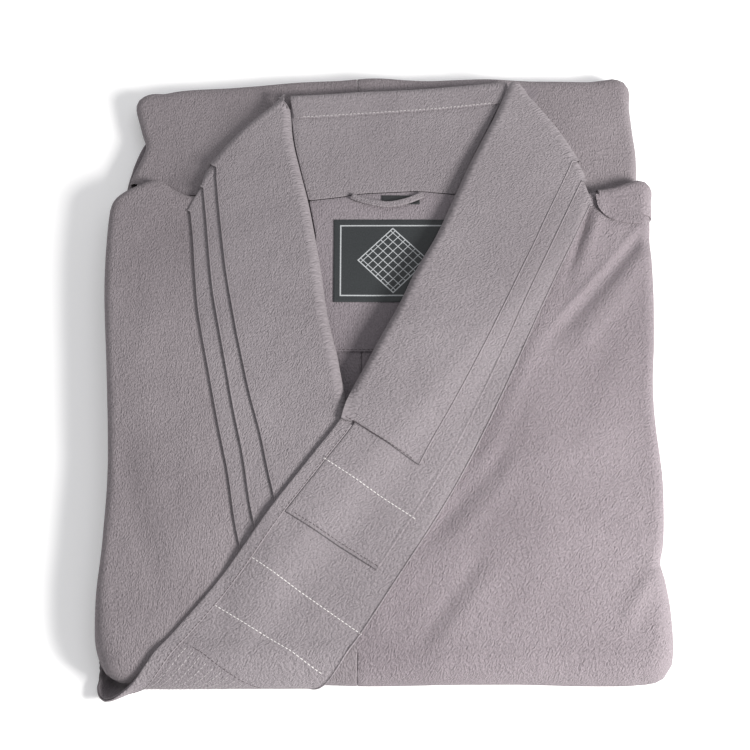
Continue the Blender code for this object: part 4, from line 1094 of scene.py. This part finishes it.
def collar(side, rows, skin, surfaces, numbers, ends, rolled_until, grain):
    """Lays the three layers of a collar. surfaces are for the base and middle layers, and for the top."""
    grid = collar_grid(skin, rows, numbers, rolled_until)
    top_grid = collar_grid(skin, rows, numbers, len(rows))
    first_of = {"base": 0, "middle": 1, "top": 0}
    last_of = {"base": 4, "middle": 3, "top": 2}
    for layer, steps in {"base": 1, "middle": 2, "top": 3}.items():
        last = int(np.argmin(np.abs(numbers - ends[layer]))) + 1
        first_column = int(np.argmin(np.abs(COLUMNS - first_of[layer])))
        last_column = int(np.argmin(np.abs(COLUMNS - last_of[layer]))) + 1
        own = top_grid if layer == "top" else grid
        pattern = Pattern(own[:last, first_column:last_column])
        index = pattern.index
        corners = own[:last, first_column:last_column].reshape(-1, 2)
        border = list(index[0])
        upward = unit(corners[index[0]] - corners[index[2]])
        if layer == "top":
            border = list(index[:, 0][::-1]) + border[1:]
            _, sideways, _, _ = skin.nearest(corners[border[:len(index)]])
            sideways[-1] = unit(sideways[-2] + upward[0])
            upward = np.vstack([sideways, upward[1:]])
        elif layer == "base":
            border, upward = border[2:], upward[2:]
        pattern.skirt(border, skin, top_reach if layer == "top" else collar_reach, upward)
        ridge_line = np.zeros(index.shape[1])
        ridge_line[-2:] = STITCH_DIP, EDGE_RIDGE
        on_border = np.tile(ridge_line, index.shape[0])[border]
        lift = steps * STEP + np.concatenate([
            np.tile(ridge_line, index.shape[0]), np.tile(on_border, len(ROLL_STEPS))
        ])
        surface_of = surfaces[layer == "top"]
        cloth(f"collar_{side}_{layer}_cloth", pattern, surface_of, lift, COTTON_FLAT, grain=grain)
    return grid


print("an edge stands up", EDGE_RIDGE, "mm and dips", -STITCH_DIP, "mm at its stitches")

# %% [markdown]
# The right collar is short, because it ends hidden under the left one.

# %% Right collar
last_row = len(RIGHT) - 1
right_numbers = numbers_between(last_row, [], 0.055)
right_grid = collar("right", RIGHT, right_skin, (right_skin.surface, right_skin.surface), right_numbers,
                    dict.fromkeys(("base", "middle", "top"), last_row), last_row, 8.0)

# %% Left collar and its binding
last_row = len(LEFT) - 1
left_numbers = numbers_between(last_row, [LEFT_ROLLED_ROW, TOP_END_ROW, MIDDLE_END_ROW], 0.05)
left_grid = collar(
    "left", LEFT, left_skin, (left_surface, left_edge_surface), left_numbers,
    {"base": last_row, "middle": MIDDLE_END_ROW, "top": TOP_END_ROW}, LEFT_ROLLED_ROW, -28.0,
)


def left_binding():
    first = int(np.argmin(np.abs(left_numbers - TOP_END_ROW)))
    width = int(np.argmin(np.abs(COLUMNS - 1)))
    inner, outer = left_grid[first:, 0], left_grid[first:, width]
    share = np.linspace(0, 1 - GAP / BINDING_WIDTH, 7)[None, :, None]
    pattern = Pattern(inner[:, None] * (1 - share) + outer[:, None] * share)
    return cloth("collar_left_binding_cloth", pattern, left_surface, 2 * STEP, COTTON_FLAT, grain=-40.0,
                 strip=BINDING_WIDTH)


left_binding()

# %% [markdown]
# ## Inside the neck
#
# Between the collars one sees the inside of the back: the back of the collar with a hem along its
# top, a facing below the neck seam, and the two halves of the back with their seam. A strip loop
# hangs from the neck seam, over a small size label, and a larger woven label is sewn to the facing.

# %% Back of the collar, facing and inside of the back
neck = Skin([(x, y, COLLAR_TOP_FOLD) for x, y in COLLAR_TOP_EDGE[::-1]], neck_floor)


def opening_sides(heights, under):
    """The two inner edges of the collars at these heights, each moved under the collar by a distance."""
    right_edge = row_line(RIGHT, np.linspace(0, 8, 300))[::-1]
    left_edge = row_line(LEFT, np.linspace(0, 7, 300))[::-1]
    left = np.interp(heights, right_edge[:, 1], right_edge[:, 0]) - under
    right = np.interp(heights, left_edge[:, 1], left_edge[:, 0]) + under
    return np.column_stack([left, heights]), np.column_stack([right, heights])


def between(left, right, columns):
    share = np.linspace(0, 1, columns)[None, :, None]
    return left[:, None] * (1 - share) + right[:, None] * share


def inside_of_back():
    heights = np.linspace(NECK_END_Y, FACING_EDGE_Y + 10, 44)
    left, right = opening_sides(heights, 6.0)
    left[:, 0] = np.minimum(left[:, 0], -27.0)
    right[:, 0] = np.maximum(right[:, 0], -3.0)
    middle = np.column_stack([np.full(len(heights), INSIDE_SEAM_X), heights])
    for name, edge, side in (("right", left, -1), ("left", right, 1)):
        pattern = Pattern(between(middle + np.array([side * GAP / 2, 0]), edge, 16))
        cloth(f"back_inside_{name}_cloth", pattern, neck.surface, 0.0, COTTON_PAINTED_SHADE_INSIDE)


def facing():
    heights = np.linspace(FACING_EDGE_Y, 136.5, 60)
    under = 6.0 - 6.8 * eased((heights - 80) / 30)
    left, right = opening_sides(heights, 0.0)
    left[:, 0] -= under
    right[:, 0] += under
    low = spread([left[0], right[0]], 60)
    high = spread(smooth_line(NECK_SEAM), 60) - np.array([0, GAP])
    left[-1], right[-1] = high[0] + (0.3, 0), high[-1] - (0.3, 0)
    high[0], high[-1] = left[-1], right[-1]
    return cloth("back_facing_cloth", Pattern(patch(left, right, low, high)), neck.surface, STEP,
                 COTTON_PAINTED_SHADE_INSIDE)


def collar_back():
    top_line = neck.part((99, 240), (-62, 228))[::-1]
    count, rows = len(top_line), 44
    heights = np.linspace(0, 1, rows)
    left = opening_sides(np.linspace(138, 224, rows), -0.5)[0]
    right = opening_sides(np.linspace(144, 235, rows), -0.5)[1]
    right[:, 0] -= 0.8 * heights
    high = top_line.copy()
    high[0], high[-1] = (left[-1, 0], high[0, 1]), (right[-1, 0], high[-1, 1])
    low = spread(smooth_line(NECK_SEAM), count) + np.array([0, GAP])
    low[0], low[-1] = left[0], right[0]
    left[-1], right[-1] = high[0], high[-1]
    pattern = Pattern(patch(left, right, low, high))
    pattern.skirt(list(pattern.index[-1]), neck, lambda x, y: COLLAR_BACK_REACH)
    cloth("collar_back_cloth", pattern, neck.surface, STEP, COTTON_FLAT, grain=2.0)
    along = unit(high - low)
    pattern = Pattern(np.array([high - along * HEM_WIDTH * s for s in np.linspace(1, 0, 11)]))
    pattern.skirt(list(pattern.index[-1]), neck, lambda x, y: COLLAR_HEM_REACH)
    cloth("collar_back_hem_cloth", pattern, neck.surface, 2 * STEP, COTTON_FLAT, grain=2.0)
    return (high - along * (HEM_WIDTH - HEM_STITCH_INSET))[1:-1]


inside_of_back()
facing()
hem_row = collar_back()

# %% [markdown]
# ## Woven labels
#
# Neck labels are satin ribbon: very fine dark threads with a slight shine along the weave. The
# large one carries a plain pattern woven in pale thread, a thin frame round a small lattice. The
# small one is bare.

# %% Satin materials and labels
# The label's pattern, step by step: result, operation, and the names or numbers that go in, metres
LATTICE_PITCH, LATTICE_LINE, FRAME_INSET, DIAMOND = 0.0075, 0.00042, 0.0052, 0.0262
LABEL_PATTERN = [
    ("across", "SUBTRACT", "x", ((LABEL["left"] + LABEL["right"]) / 2 + MAP_SHIFT) * MM),
    ("along", "SUBTRACT", "y", ((LABEL["low"] + LABEL["high"]) / 2 + MAP_SHIFT) * MM),
    ("far_x", "ABSOLUTE", "across"), ("far_y", "ABSOLUTE", "along"),
    ("side_gap", "SUBTRACT", (LABEL["right"] - LABEL["left"]) / 2 * MM, "far_x"),
    ("end_gap", "SUBTRACT", (LABEL["high"] - LABEL["low"]) / 2 * MM, "far_y"),
    ("edge", "MINIMUM", "side_gap", "end_gap"),
    ("frame", "COMPARE", "edge", FRAME_INSET, 0.0005),
    ("rising", "ADD", "across", "along"), ("falling", "SUBTRACT", "across", "along"),
    ("one", "PINGPONG", "rising", LATTICE_PITCH / 2), ("two", "PINGPONG", "falling", LATTICE_PITCH / 2),
    ("nearest", "MINIMUM", "one", "two"), ("lattice", "LESS_THAN", "nearest", LATTICE_LINE),
    ("reach", "ADD", "far_x", "far_y"), ("inside", "LESS_THAN", "reach", DIAMOND),
    ("ring", "COMPARE", "reach", DIAMOND, 0.0006), ("net", "MULTIPLY", "lattice", "inside"),
    ("drawing", "MAXIMUM", "net", "ring"), ("drawn", "MAXIMUM", "drawing", "frame"),
    ("wear", "MULTIPLY_ADD", "dust", 0.5, 0.5), ("woven", "MULTIPLY", "drawn", "wear"),
]


def satin(name, colour, pale, pattern):
    material, tree, shader = new_material(name)
    place = node(tree, "UVMap", fields=[("uv_map", "cloth")])
    ribs = node(
        tree, "TexWave", [("Vector", place, "UV")], [("bands_direction", "Y")], Scale=320.0, Distortion=0.4,
        Detail=1.0,
    )
    dust = node(tree, "TexNoise", [("Vector", place, "UV")], Scale=900.0, Detail=2.0)
    dusty = node(tree, "MapRange", [("Value", dust, "Fac")], _1=0.35, _2=1.0)
    tone = node(
        tree, "Mix", [("Factor", dusty, "Result")], [("data_type", "RGBA")], _6=srgb(colour), _7=srgb(pale)
    )
    if pattern:
        parts = node(tree, "SeparateXYZ", [("Vector", place, "UV")])
        known = {"x": (parts, "X"), "y": (parts, "Y"), "dust": (dust, "Fac")}
        for label, operation, *inputs in LABEL_PATTERN:
            links = [(k, *known[value]) for k, value in enumerate(inputs) if isinstance(value, str)]
            numbers = {f"_{k}": value for k, value in enumerate(inputs) if not isinstance(value, str)}
            known[label] = (node(tree, "Math", links, [("operation", operation)], **numbers), "Value")
        links = [("Factor", *known["woven"]), (6, tone, 2)]
        tone = node(tree, "Mix", links, [("data_type", "RGBA")], _7=srgb("#b9bcbf"))
    tree.links.new(tone.outputs[2], shader.inputs["Base Color"])
    bump = node(tree, "Bump", [("Height", ribs, "Fac")], Strength=0.3, Distance=0.0001)
    tree.links.new(bump.outputs["Normal"], shader.inputs["Normal"])
    shader.inputs["Roughness"].default_value = 0.5
    shader.inputs["Sheen Weight"].default_value = 0.15
    return material


SATIN = satin("woven_satin_charcoal", "#191d1f", "#2c3033", True)
SATIN_BARE = satin("woven_satin_black", "#18191b", "#2a2c2e", False)


def labels():
    heights = np.linspace(LABEL["low"], LABEL["high"], 30)
    right = opening_sides(heights, -1.0)[1]
    right[:, 0] = np.minimum(right[:, 0], LABEL["right"])
    left = np.column_stack([np.full(len(heights), LABEL["left"]), heights])
    cloth("neck_label_cloth", Pattern(between(left, right, 36)), neck.surface, 2 * STEP, SATIN,
          LABEL_THICKNESS)
    box = SIZE_LABEL
    xs, ys = np.linspace(box["left"], box["right"], 16), np.linspace(box["low"], box["high"], 6)
    cloth("size_label_cloth", Pattern(np.stack(np.meshgrid(xs, ys), axis=-1)), neck.surface, 2 * STEP,
          SATIN_BARE, LABEL_THICKNESS)


labels()

# %% [markdown]
# ## Hanger loop
#
# The loop is a strip of the same cotton folded in four and stitched, with both ends caught in the
# neck seam. It stands a little proud in the middle, as it does when a hook has lifted it.

# %% Hanger loop
def hanger_loop():
    path = smooth_line(LOOP_PATH, step=1.2)
    ahead = np.gradient(path, axis=0)
    aside = unit(np.column_stack([-ahead[:, 1], ahead[:, 0]]))
    across = np.linspace(-0.5, 0.5, 5)[None, :, None] * LOOP_WIDTH
    middle, half = (path[0, 0] + path[-1, 0]) / 2, (path[-1, 0] - path[0, 0]) / 2

    def raised(x, y):
        return 2 * STEP + LABEL_THICKNESS + GAP + LOOP_RISE * (1 - np.clip((x - middle) / half, -1, 1) ** 2)

    return cloth("hanger_loop_cloth", Pattern(path[:, None] + aside[:, None] * across), neck.surface,
                 raised, COTTON_FLAT, LOOP_THICKNESS, grain=5.0,
                 strip=LOOP_WIDTH)


hanger_loop()

# %% [markdown]
# ## The layers folded inside
#
# The rest of the robe lies under what shows, and the side of the pile shows it as a stack of rounded
# folds. Each is drawn as one doubled layer with a half-round edge. They lie a little unevenly, as
# folded cloth does. A curtain of cloth closes the hollow under the neck.

# %% Stack of folded layers
LAYER = 2.7
# Each pile of doubled layers: outline, height of the lowest, from one to the next, how many, first number
PLIES = [
    (FOLD_LOWER, 0.0, LAYER * 1.04, 4, 0), (FOLD_UPPER, 11.3, LAYER - 0.2, 4, 5),
    (COLLAR_PAD, 27.8, 0.0, 1, 11),
]
# Unevenness of their edges in plan and in height, as height and width; every other one lies further in
PLY_SHIFT, PLY_WAVE, PLY_ALTERNATE, PLY_INSET = (2.4, 55.0), (0.3, 30.0), 0.9, 0.8
PLY_CUT_WIDTH, CURTAIN_WIDTH, CURTAIN_HEIGHT = 0.45, 0.0105, 9.0


def folded_ply(outline, bottom, number):
    """Points and faces of one doubled layer: rings round its half-round edge, and two caps."""
    edge = smooth_line(outline, closed=True, step=7.0)
    edge = smooth_line(edge, closed=True, step=5.0)
    ahead = np.roll(edge, -1, axis=0) - np.roll(edge, 1, axis=0)
    outward = unit(np.column_stack([ahead[:, 1], -ahead[:, 0]]))
    if ((edge - edge.mean(0)) * outward).sum() < 0:
        outward = -outward
    shift = PLY_SHIFT[0] * rumple(edge[:, 0] + 300 * number, edge[:, 1], PLY_SHIFT[1])
    shift = shift - PLY_ALTERNATE * (number % 2)
    wave = PLY_WAVE[0] * rumple(edge[:, 0], edge[:, 1] + 200 * number, PLY_WAVE[1])
    line = edge - outward * (LAYER / 2 + PLY_INSET - shift)[:, None]
    along = lengths(np.vstack([edge, edge[:1]]))[:-1]
    verts, uvs = [], []
    for k, turn in enumerate(np.radians(np.linspace(180, 0, 9))):
        spot = line + outward * (LAYER / 2) * math.sin(turn)
        height = bottom + LAYER / 2 * (1 + math.cos(turn)) + wave * (0 if bottom < 1 and k < 2 else 1)
        verts.append(np.column_stack([spot, np.maximum(height, 0.02)]))
        uvs.append(np.column_stack([along, np.full(len(edge), k * LAYER * 0.196)]))
    return np.vstack(verts), np.vstack(uvs), len(edge)


def stack_of_layers():
    verts, uvs, faces, area, total = [], [], [], 0.0, 0
    plies = [
        (outline, lowest + apart * k, number + k)
        for outline, lowest, apart, count, number in PLIES for k in range(count)
    ]
    for outline, bottom, number in plies:
        points, flat, count = folded_ply(outline, bottom, number)
        rings = np.arange(total, total + len(points)).reshape(-1, count)
        closed = np.column_stack([rings, rings[:, :1]])
        for low, high in zip(closed, closed[1:]):
            faces += between_lines(low, high)
        faces += [tuple(rings[0]), tuple(rings[-1, ::-1])]
        area += plan_area(points[rings[len(rings) // 2] - total])
        verts.append(points)
        uvs.append(flat)
        total += len(points)
    obj = mesh_object("folded_layers_cloth", np.vstack(verts), faces, np.vstack(uvs), COTTON_PAINTED_SHADE_INSIDE)
    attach(obj, "root")
    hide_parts("folded_layers")
    area *= MM * MM
    print(f"folded layers: {len(plies)} doubled layers, {area:.2f} m2, {len(faces)} faces")


stack_of_layers()


# %% Curtain round the hollow
def neck_curtain():
    """Cloth that closes the sides of the hollow under the neck opening."""
    rows = np.array(NECK_HOLLOW, float)
    heights = np.linspace(rows[0, 0], 150, 50)
    left = np.column_stack([np.interp(heights, rows[:, 0], rows[:, 1]), heights])
    right = np.column_stack([np.interp(heights, rows[:, 0], rows[:, 2]), heights])
    path = np.vstack([left[::-1], right])
    ring = spread(path, 120)
    steps = np.linspace(0, 1, 6)
    ahead = np.gradient(ring, axis=0)
    aside = unit(np.column_stack([ahead[:, 1], -ahead[:, 0]]))
    verts, uvs, faces = [], [], []
    along = lengths(ring)
    for thick in (0.0, 1.0):
        for s in steps:
            low = neck_floor(ring[:, 0], ring[:, 1]) - 0.4
            high = chest_base(ring[:, 0], ring[:, 1]) - 1.2
            spot = ring - aside * thick
            verts.append(np.column_stack([spot, low + (high - low) * s]))
            uvs.append(np.column_stack([along, np.full(len(ring), s * CURTAIN_HEIGHT)]))
    n, m = len(ring), len(steps)
    grid = np.arange(2 * m * n).reshape(2, m, n)
    for layer in grid:
        for low, high in zip(layer, layer[1:]):
            faces += between_lines(low, high)
    for end in (0, -1):
        faces += between_lines(grid[0, end], grid[1, end])
    for end in (0, -1):
        faces += between_lines(grid[0, :, end], grid[1, :, end])
    obj = mesh_object("neck_curtain_cloth", np.vstack(verts), faces, np.vstack(uvs), COTTON_PAINTED_SHADE_INSIDE)
    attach(obj, "root")
    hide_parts("folded_layers")
    print("curtain round the hollow:", round(along[-1]), "mm")


neck_curtain()

# %% [markdown]
# ## Sewing
#
# The collar is sewn with a thick thread in stitches about 3 mm long. Some rows are white; the rest are
# in the cloth's hue but darker, as painted shade of the groove that they sink into, so they show as
# small dark dashes. A stitch is modelled once, as a ball stretched to a grain with sunken ends, and
# copied along each row in plan, so that it follows the cloth round the edge.

# %% One stitch
STITCH_PITCH, STITCH_LENGTH, STITCH_WIDTH, STITCH_HEIGHT = 3.0, 2.3, 0.62, 0.5


def one_stitch():
    """Points and faces of a stitch one unit long, wide and high, from a ball that is then removed."""
    bpy.ops.object.select_all(action="DESELECT")
    bpy.ops.mesh.primitive_uv_sphere_add(segments=8, ring_count=5, radius=0.5, rotation=(0, math.pi / 2, 0))
    ball = bpy.context.active_object
    bpy.ops.object.transform_apply(location=False, rotation=True, scale=False)
    points = np.array([v.co[:] for v in ball.data.vertices])
    faces = [tuple(p.vertices) for p in ball.data.polygons]
    bpy.data.objects.remove(ball)
    return points, faces


BALL, BALL_FACES = one_stitch()
print("faces of a stitch:", len(BALL_FACES))

# %% [markdown]
# The thread is spun cotton of several twisted strands, which give it a fine slanting light and dark.
# The label is sewn with smooth polyester thread in the satin's colour.

# %% Thread materials
def thread(name, colour, light):
    material, tree, shader = new_material(name)
    place = node(tree, "TexCoord")
    twist = node(tree, "TexWave", [("Vector", place, "Object")], [("bands_direction", "DIAGONAL")],
                 Scale=700.0, Distortion=1.0)
    tone = node(
        tree, "Mix", [("Factor", twist, "Fac")], [("data_type", "RGBA")], _6=srgb(colour), _7=srgb(light)
    )
    tree.links.new(tone.outputs[2], shader.inputs["Base Color"])
    bump = node(tree, "Bump", [("Height", twist, "Fac")], Strength=0.4, Distance=0.0001)
    tree.links.new(bump.outputs["Normal"], shader.inputs["Normal"])
    shader.inputs["Roughness"].default_value = 0.75
    return material


WHITE_THREAD = thread("cotton_thread_white", "#c9c6c4", "#f0eeec")
PALE_THREAD = thread("cotton_thread_pale", "#a8a2a4", "#cfcbcb")
# The two mauve threads are darker than the cloth they match: their colour is painted shade of the groove
# each stitch sinks into
DEEP_PAINTED_SHADE_STITCH_THREAD = thread("cotton_thread_mauve_deep_painted_shade", "#40383b", "#544b4f")
PAINTED_SHADE_EDGE_THREAD = thread("cotton_thread_mauve", "#5a5256", "#6e666a")
LABEL_THREAD = thread("polyester_thread_charcoal", "#1b1e21", "#3a3f43")


print("threads:", WHITE_THREAD.name, PALE_THREAD.name, DEEP_PAINTED_SHADE_STITCH_THREAD.name, PAINTED_SHADE_EDGE_THREAD.name)


# %% A row of stitches
def stitches(name, rows, surface_of, lift, material, width=STITCH_WIDTH, height=STITCH_HEIGHT,
             pitch=STITCH_PITCH, length=STITCH_LENGTH):
    """One object with a stitch at each step along these plan lines."""
    verts, faces = [], []
    for row in rows:
        line = smooth_line(row, step=1.0) if len(row) > 2 else np.array(row, float)
        total = lengths(line)[-1]
        count = max(1, int(total / pitch))
        middle = (np.arange(count) + 0.5) * pitch + (total - count * pitch) / 2
        ends = [at(line, np.clip((middle + d) / total, 0, 1)) for d in (-length / 2, length / 2, 0.0)]
        tail, head, spot = (surface_of(p)(np.full(len(p), lift)) for p in ends)
        along = head - tail
        reach = np.linalg.norm(along, axis=1)[:, None]
        along /= reach
        up = surface_of(ends[2])(np.full(count, lift + 1.0)) - spot
        aside = unit(np.cross(up, along))
        up = np.cross(along, aside)
        for k in range(count):
            first = len(verts) * len(BALL)
            shape = (
                spot[k] + BALL[:, :1] * along[k] * reach[k] + BALL[:, 1:2] * aside[k] * width
                + BALL[:, 2:3] * up[k] * height
            )
            verts.append(shape)
            faces += [tuple(i + first for i in face) for face in BALL_FACES]
    points = np.vstack(verts)
    obj = mesh_object(name, points, faces, points[:, :2] + MAP_SHIFT, material, 80.0)
    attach(obj, "root")
    print(f"{name}: {len(verts)} stitches")
    return obj


print("stitches", STITCH_LENGTH, "mm long, one every", STITCH_PITCH, "mm")

# %% [markdown]
# ### Where the rows run
#
# The white rows cross the middle and base layers. The dark ones, whose darkness is painted shade of
# their grooves, hold the square ends, the binding's inner edge and each layer's outer edge.

# %% Rows of sewing
ON_LAYER = {"base": STEP + CLOTH, "middle": 2 * STEP + CLOTH, "top": 3 * STEP + CLOTH}
# Widths and heights of the finer stitches, and how far rows lie in from an edge, mm
FINE_STITCH, WHITE_STITCH, BUNDLE_STITCH, LABEL_STITCH = (0.5, 0.42), (0.57, 0.48), (0.42, 0.4), (0.4, 0.35)
EDGE_INSET, LABEL_INSET, FACING_INSET = 1.1, 1.2, 1.6
WHITE_ON_MIDDLE = [[(-36.5, -75), (28.5, -119)]]
WHITE_ON_BASE = [[(-85.5, -146), (-8.5, -199.3)], [(-111, -178), (-35.5, -223.5)]]


def on_grid(grid, numbers, row_numbers, columns):
    """Plan points at these row and column numbers of a collar's grid, which may lie between its own."""
    rows = np.interp(row_numbers, numbers, np.arange(len(numbers)))
    cols = np.interp(columns, COLUMNS, np.arange(len(COLUMNS)))
    r, c = np.minimum(rows.astype(int), len(numbers) - 2), np.minimum(cols.astype(int), len(COLUMNS) - 2)
    fr, fc = (rows - r)[:, None], (cols - c)[:, None]
    near = grid[r, c] * (1 - fc) + grid[r, c + 1] * fc
    far = grid[r + 1, c] * (1 - fc) + grid[r + 1, c + 1] * fc
    return near * (1 - fr) + far * fr


def lengthwise(grid, numbers, column, first, last, inset=0.0):
    """A line along a collar at a column, from one row number to another, moved in by millimetres."""
    steps = np.linspace(first, last, 60)
    edge = on_grid(grid, numbers, steps, np.full(60, float(column)))
    inner = on_grid(grid, numbers, steps, np.full(60, column - 0.3))
    return edge + unit(inner - edge) * inset


def across(grid, numbers, row_number, first, last):
    """A line across a collar at a row number, from one column to another."""
    return on_grid(grid, numbers, np.full(30, float(row_number)), np.linspace(first, last, 30))


def side_rows(side, grid, numbers, surfaces, ends):
    """The rows along the outer edge of each layer of a collar."""
    for column, layer in ((2, "top"), (3, "middle"), (4, "base")):
        stitches(f"stitches_{side}_{layer}_edge",
                 [lengthwise(grid, numbers, column, 0.12, ends[layer], EDGE_INSET)],
                 surfaces[layer == "top"], ON_LAYER[layer] + STITCH_DIP, PAINTED_SHADE_EDGE_THREAD, *FINE_STITCH)


side_rows("right", right_grid, right_numbers, (right_skin.surface,) * 2,
          {"top": 6.6, "middle": 7.0, "base": 7.2})
side_rows("left", left_grid, left_numbers, (left_surface, left_edge_surface),
          {"top": 7.08, "middle": 8.93, "base": 11.3})
left = (left_grid, left_numbers)
stitches("stitches_left_top_end", [across(*left, TOP_END_ROW - 0.06, 0.12, 1.95)], left_surface,
         ON_LAYER["top"], DEEP_PAINTED_SHADE_STITCH_THREAD)
stitches("stitches_left_middle_end", [across(*left, MIDDLE_END_ROW - 0.05, 1.1, 2.95)], left_surface,
         ON_LAYER["middle"], DEEP_PAINTED_SHADE_STITCH_THREAD)
stitches("stitches_left_base_end", [across(*left, 11.2, 1.1, 2.4)], left_surface, ON_LAYER["base"],
         DEEP_PAINTED_SHADE_STITCH_THREAD)
stitches("stitches_binding", [lengthwise(*left, 1, 7.25, 15.2, EDGE_INSET)], left_surface,
         ON_LAYER["middle"], DEEP_PAINTED_SHADE_STITCH_THREAD, width=FINE_STITCH[0])
stitches("stitches_white_middle", WHITE_ON_MIDDLE, left_surface, ON_LAYER["middle"], WHITE_THREAD,
         *WHITE_STITCH)
stitches("stitches_white_base", WHITE_ON_BASE, left_surface, ON_LAYER["base"], WHITE_THREAD, *WHITE_STITCH)
stitches("stitches_white_bundle",
         [lengthwise(*left, column, 11.26, 14.8 - 0.12 * k)
          for k, column in enumerate(np.linspace(1.08, 1.9, 9))],
         left_surface, ON_LAYER["base"], PALE_THREAD, *BUNDLE_STITCH)

# %% Sewing inside the neck
stitches("stitches_collar_hem", [hem_row], neck.surface, ON_LAYER["middle"], PALE_THREAD,
         width=FINE_STITCH[0])
facing_row = FACING_EDGE_Y + FACING_INSET
stitches("stitches_facing", [[(-40, facing_row), (6, facing_row)]], neck.surface, ON_LAYER["base"],
         DEEP_PAINTED_SHADE_STITCH_THREAD, width=0.45)
side, low, high = LABEL["left"] + LABEL_INSET, LABEL["low"] + LABEL_INSET, LABEL["high"] - LABEL_INSET
stitches("stitches_label", [
    [(side, LABEL["low"] + 1), (side, LABEL["high"] - 1)],
    [(side, high), (52, high)], [(side, low), (22, low)],
], neck.surface, 2 * STEP + LABEL_THICKNESS, LABEL_THREAD, *LABEL_STITCH, pitch=2.2, length=1.6)
print("sewing done")

# %% [markdown]
# ## Count of sheets
#
# The number of cloth sheets and of their faces is printed.

print("sheets:", len(sheets), "faces:", sum(s[3] for s in sheets))
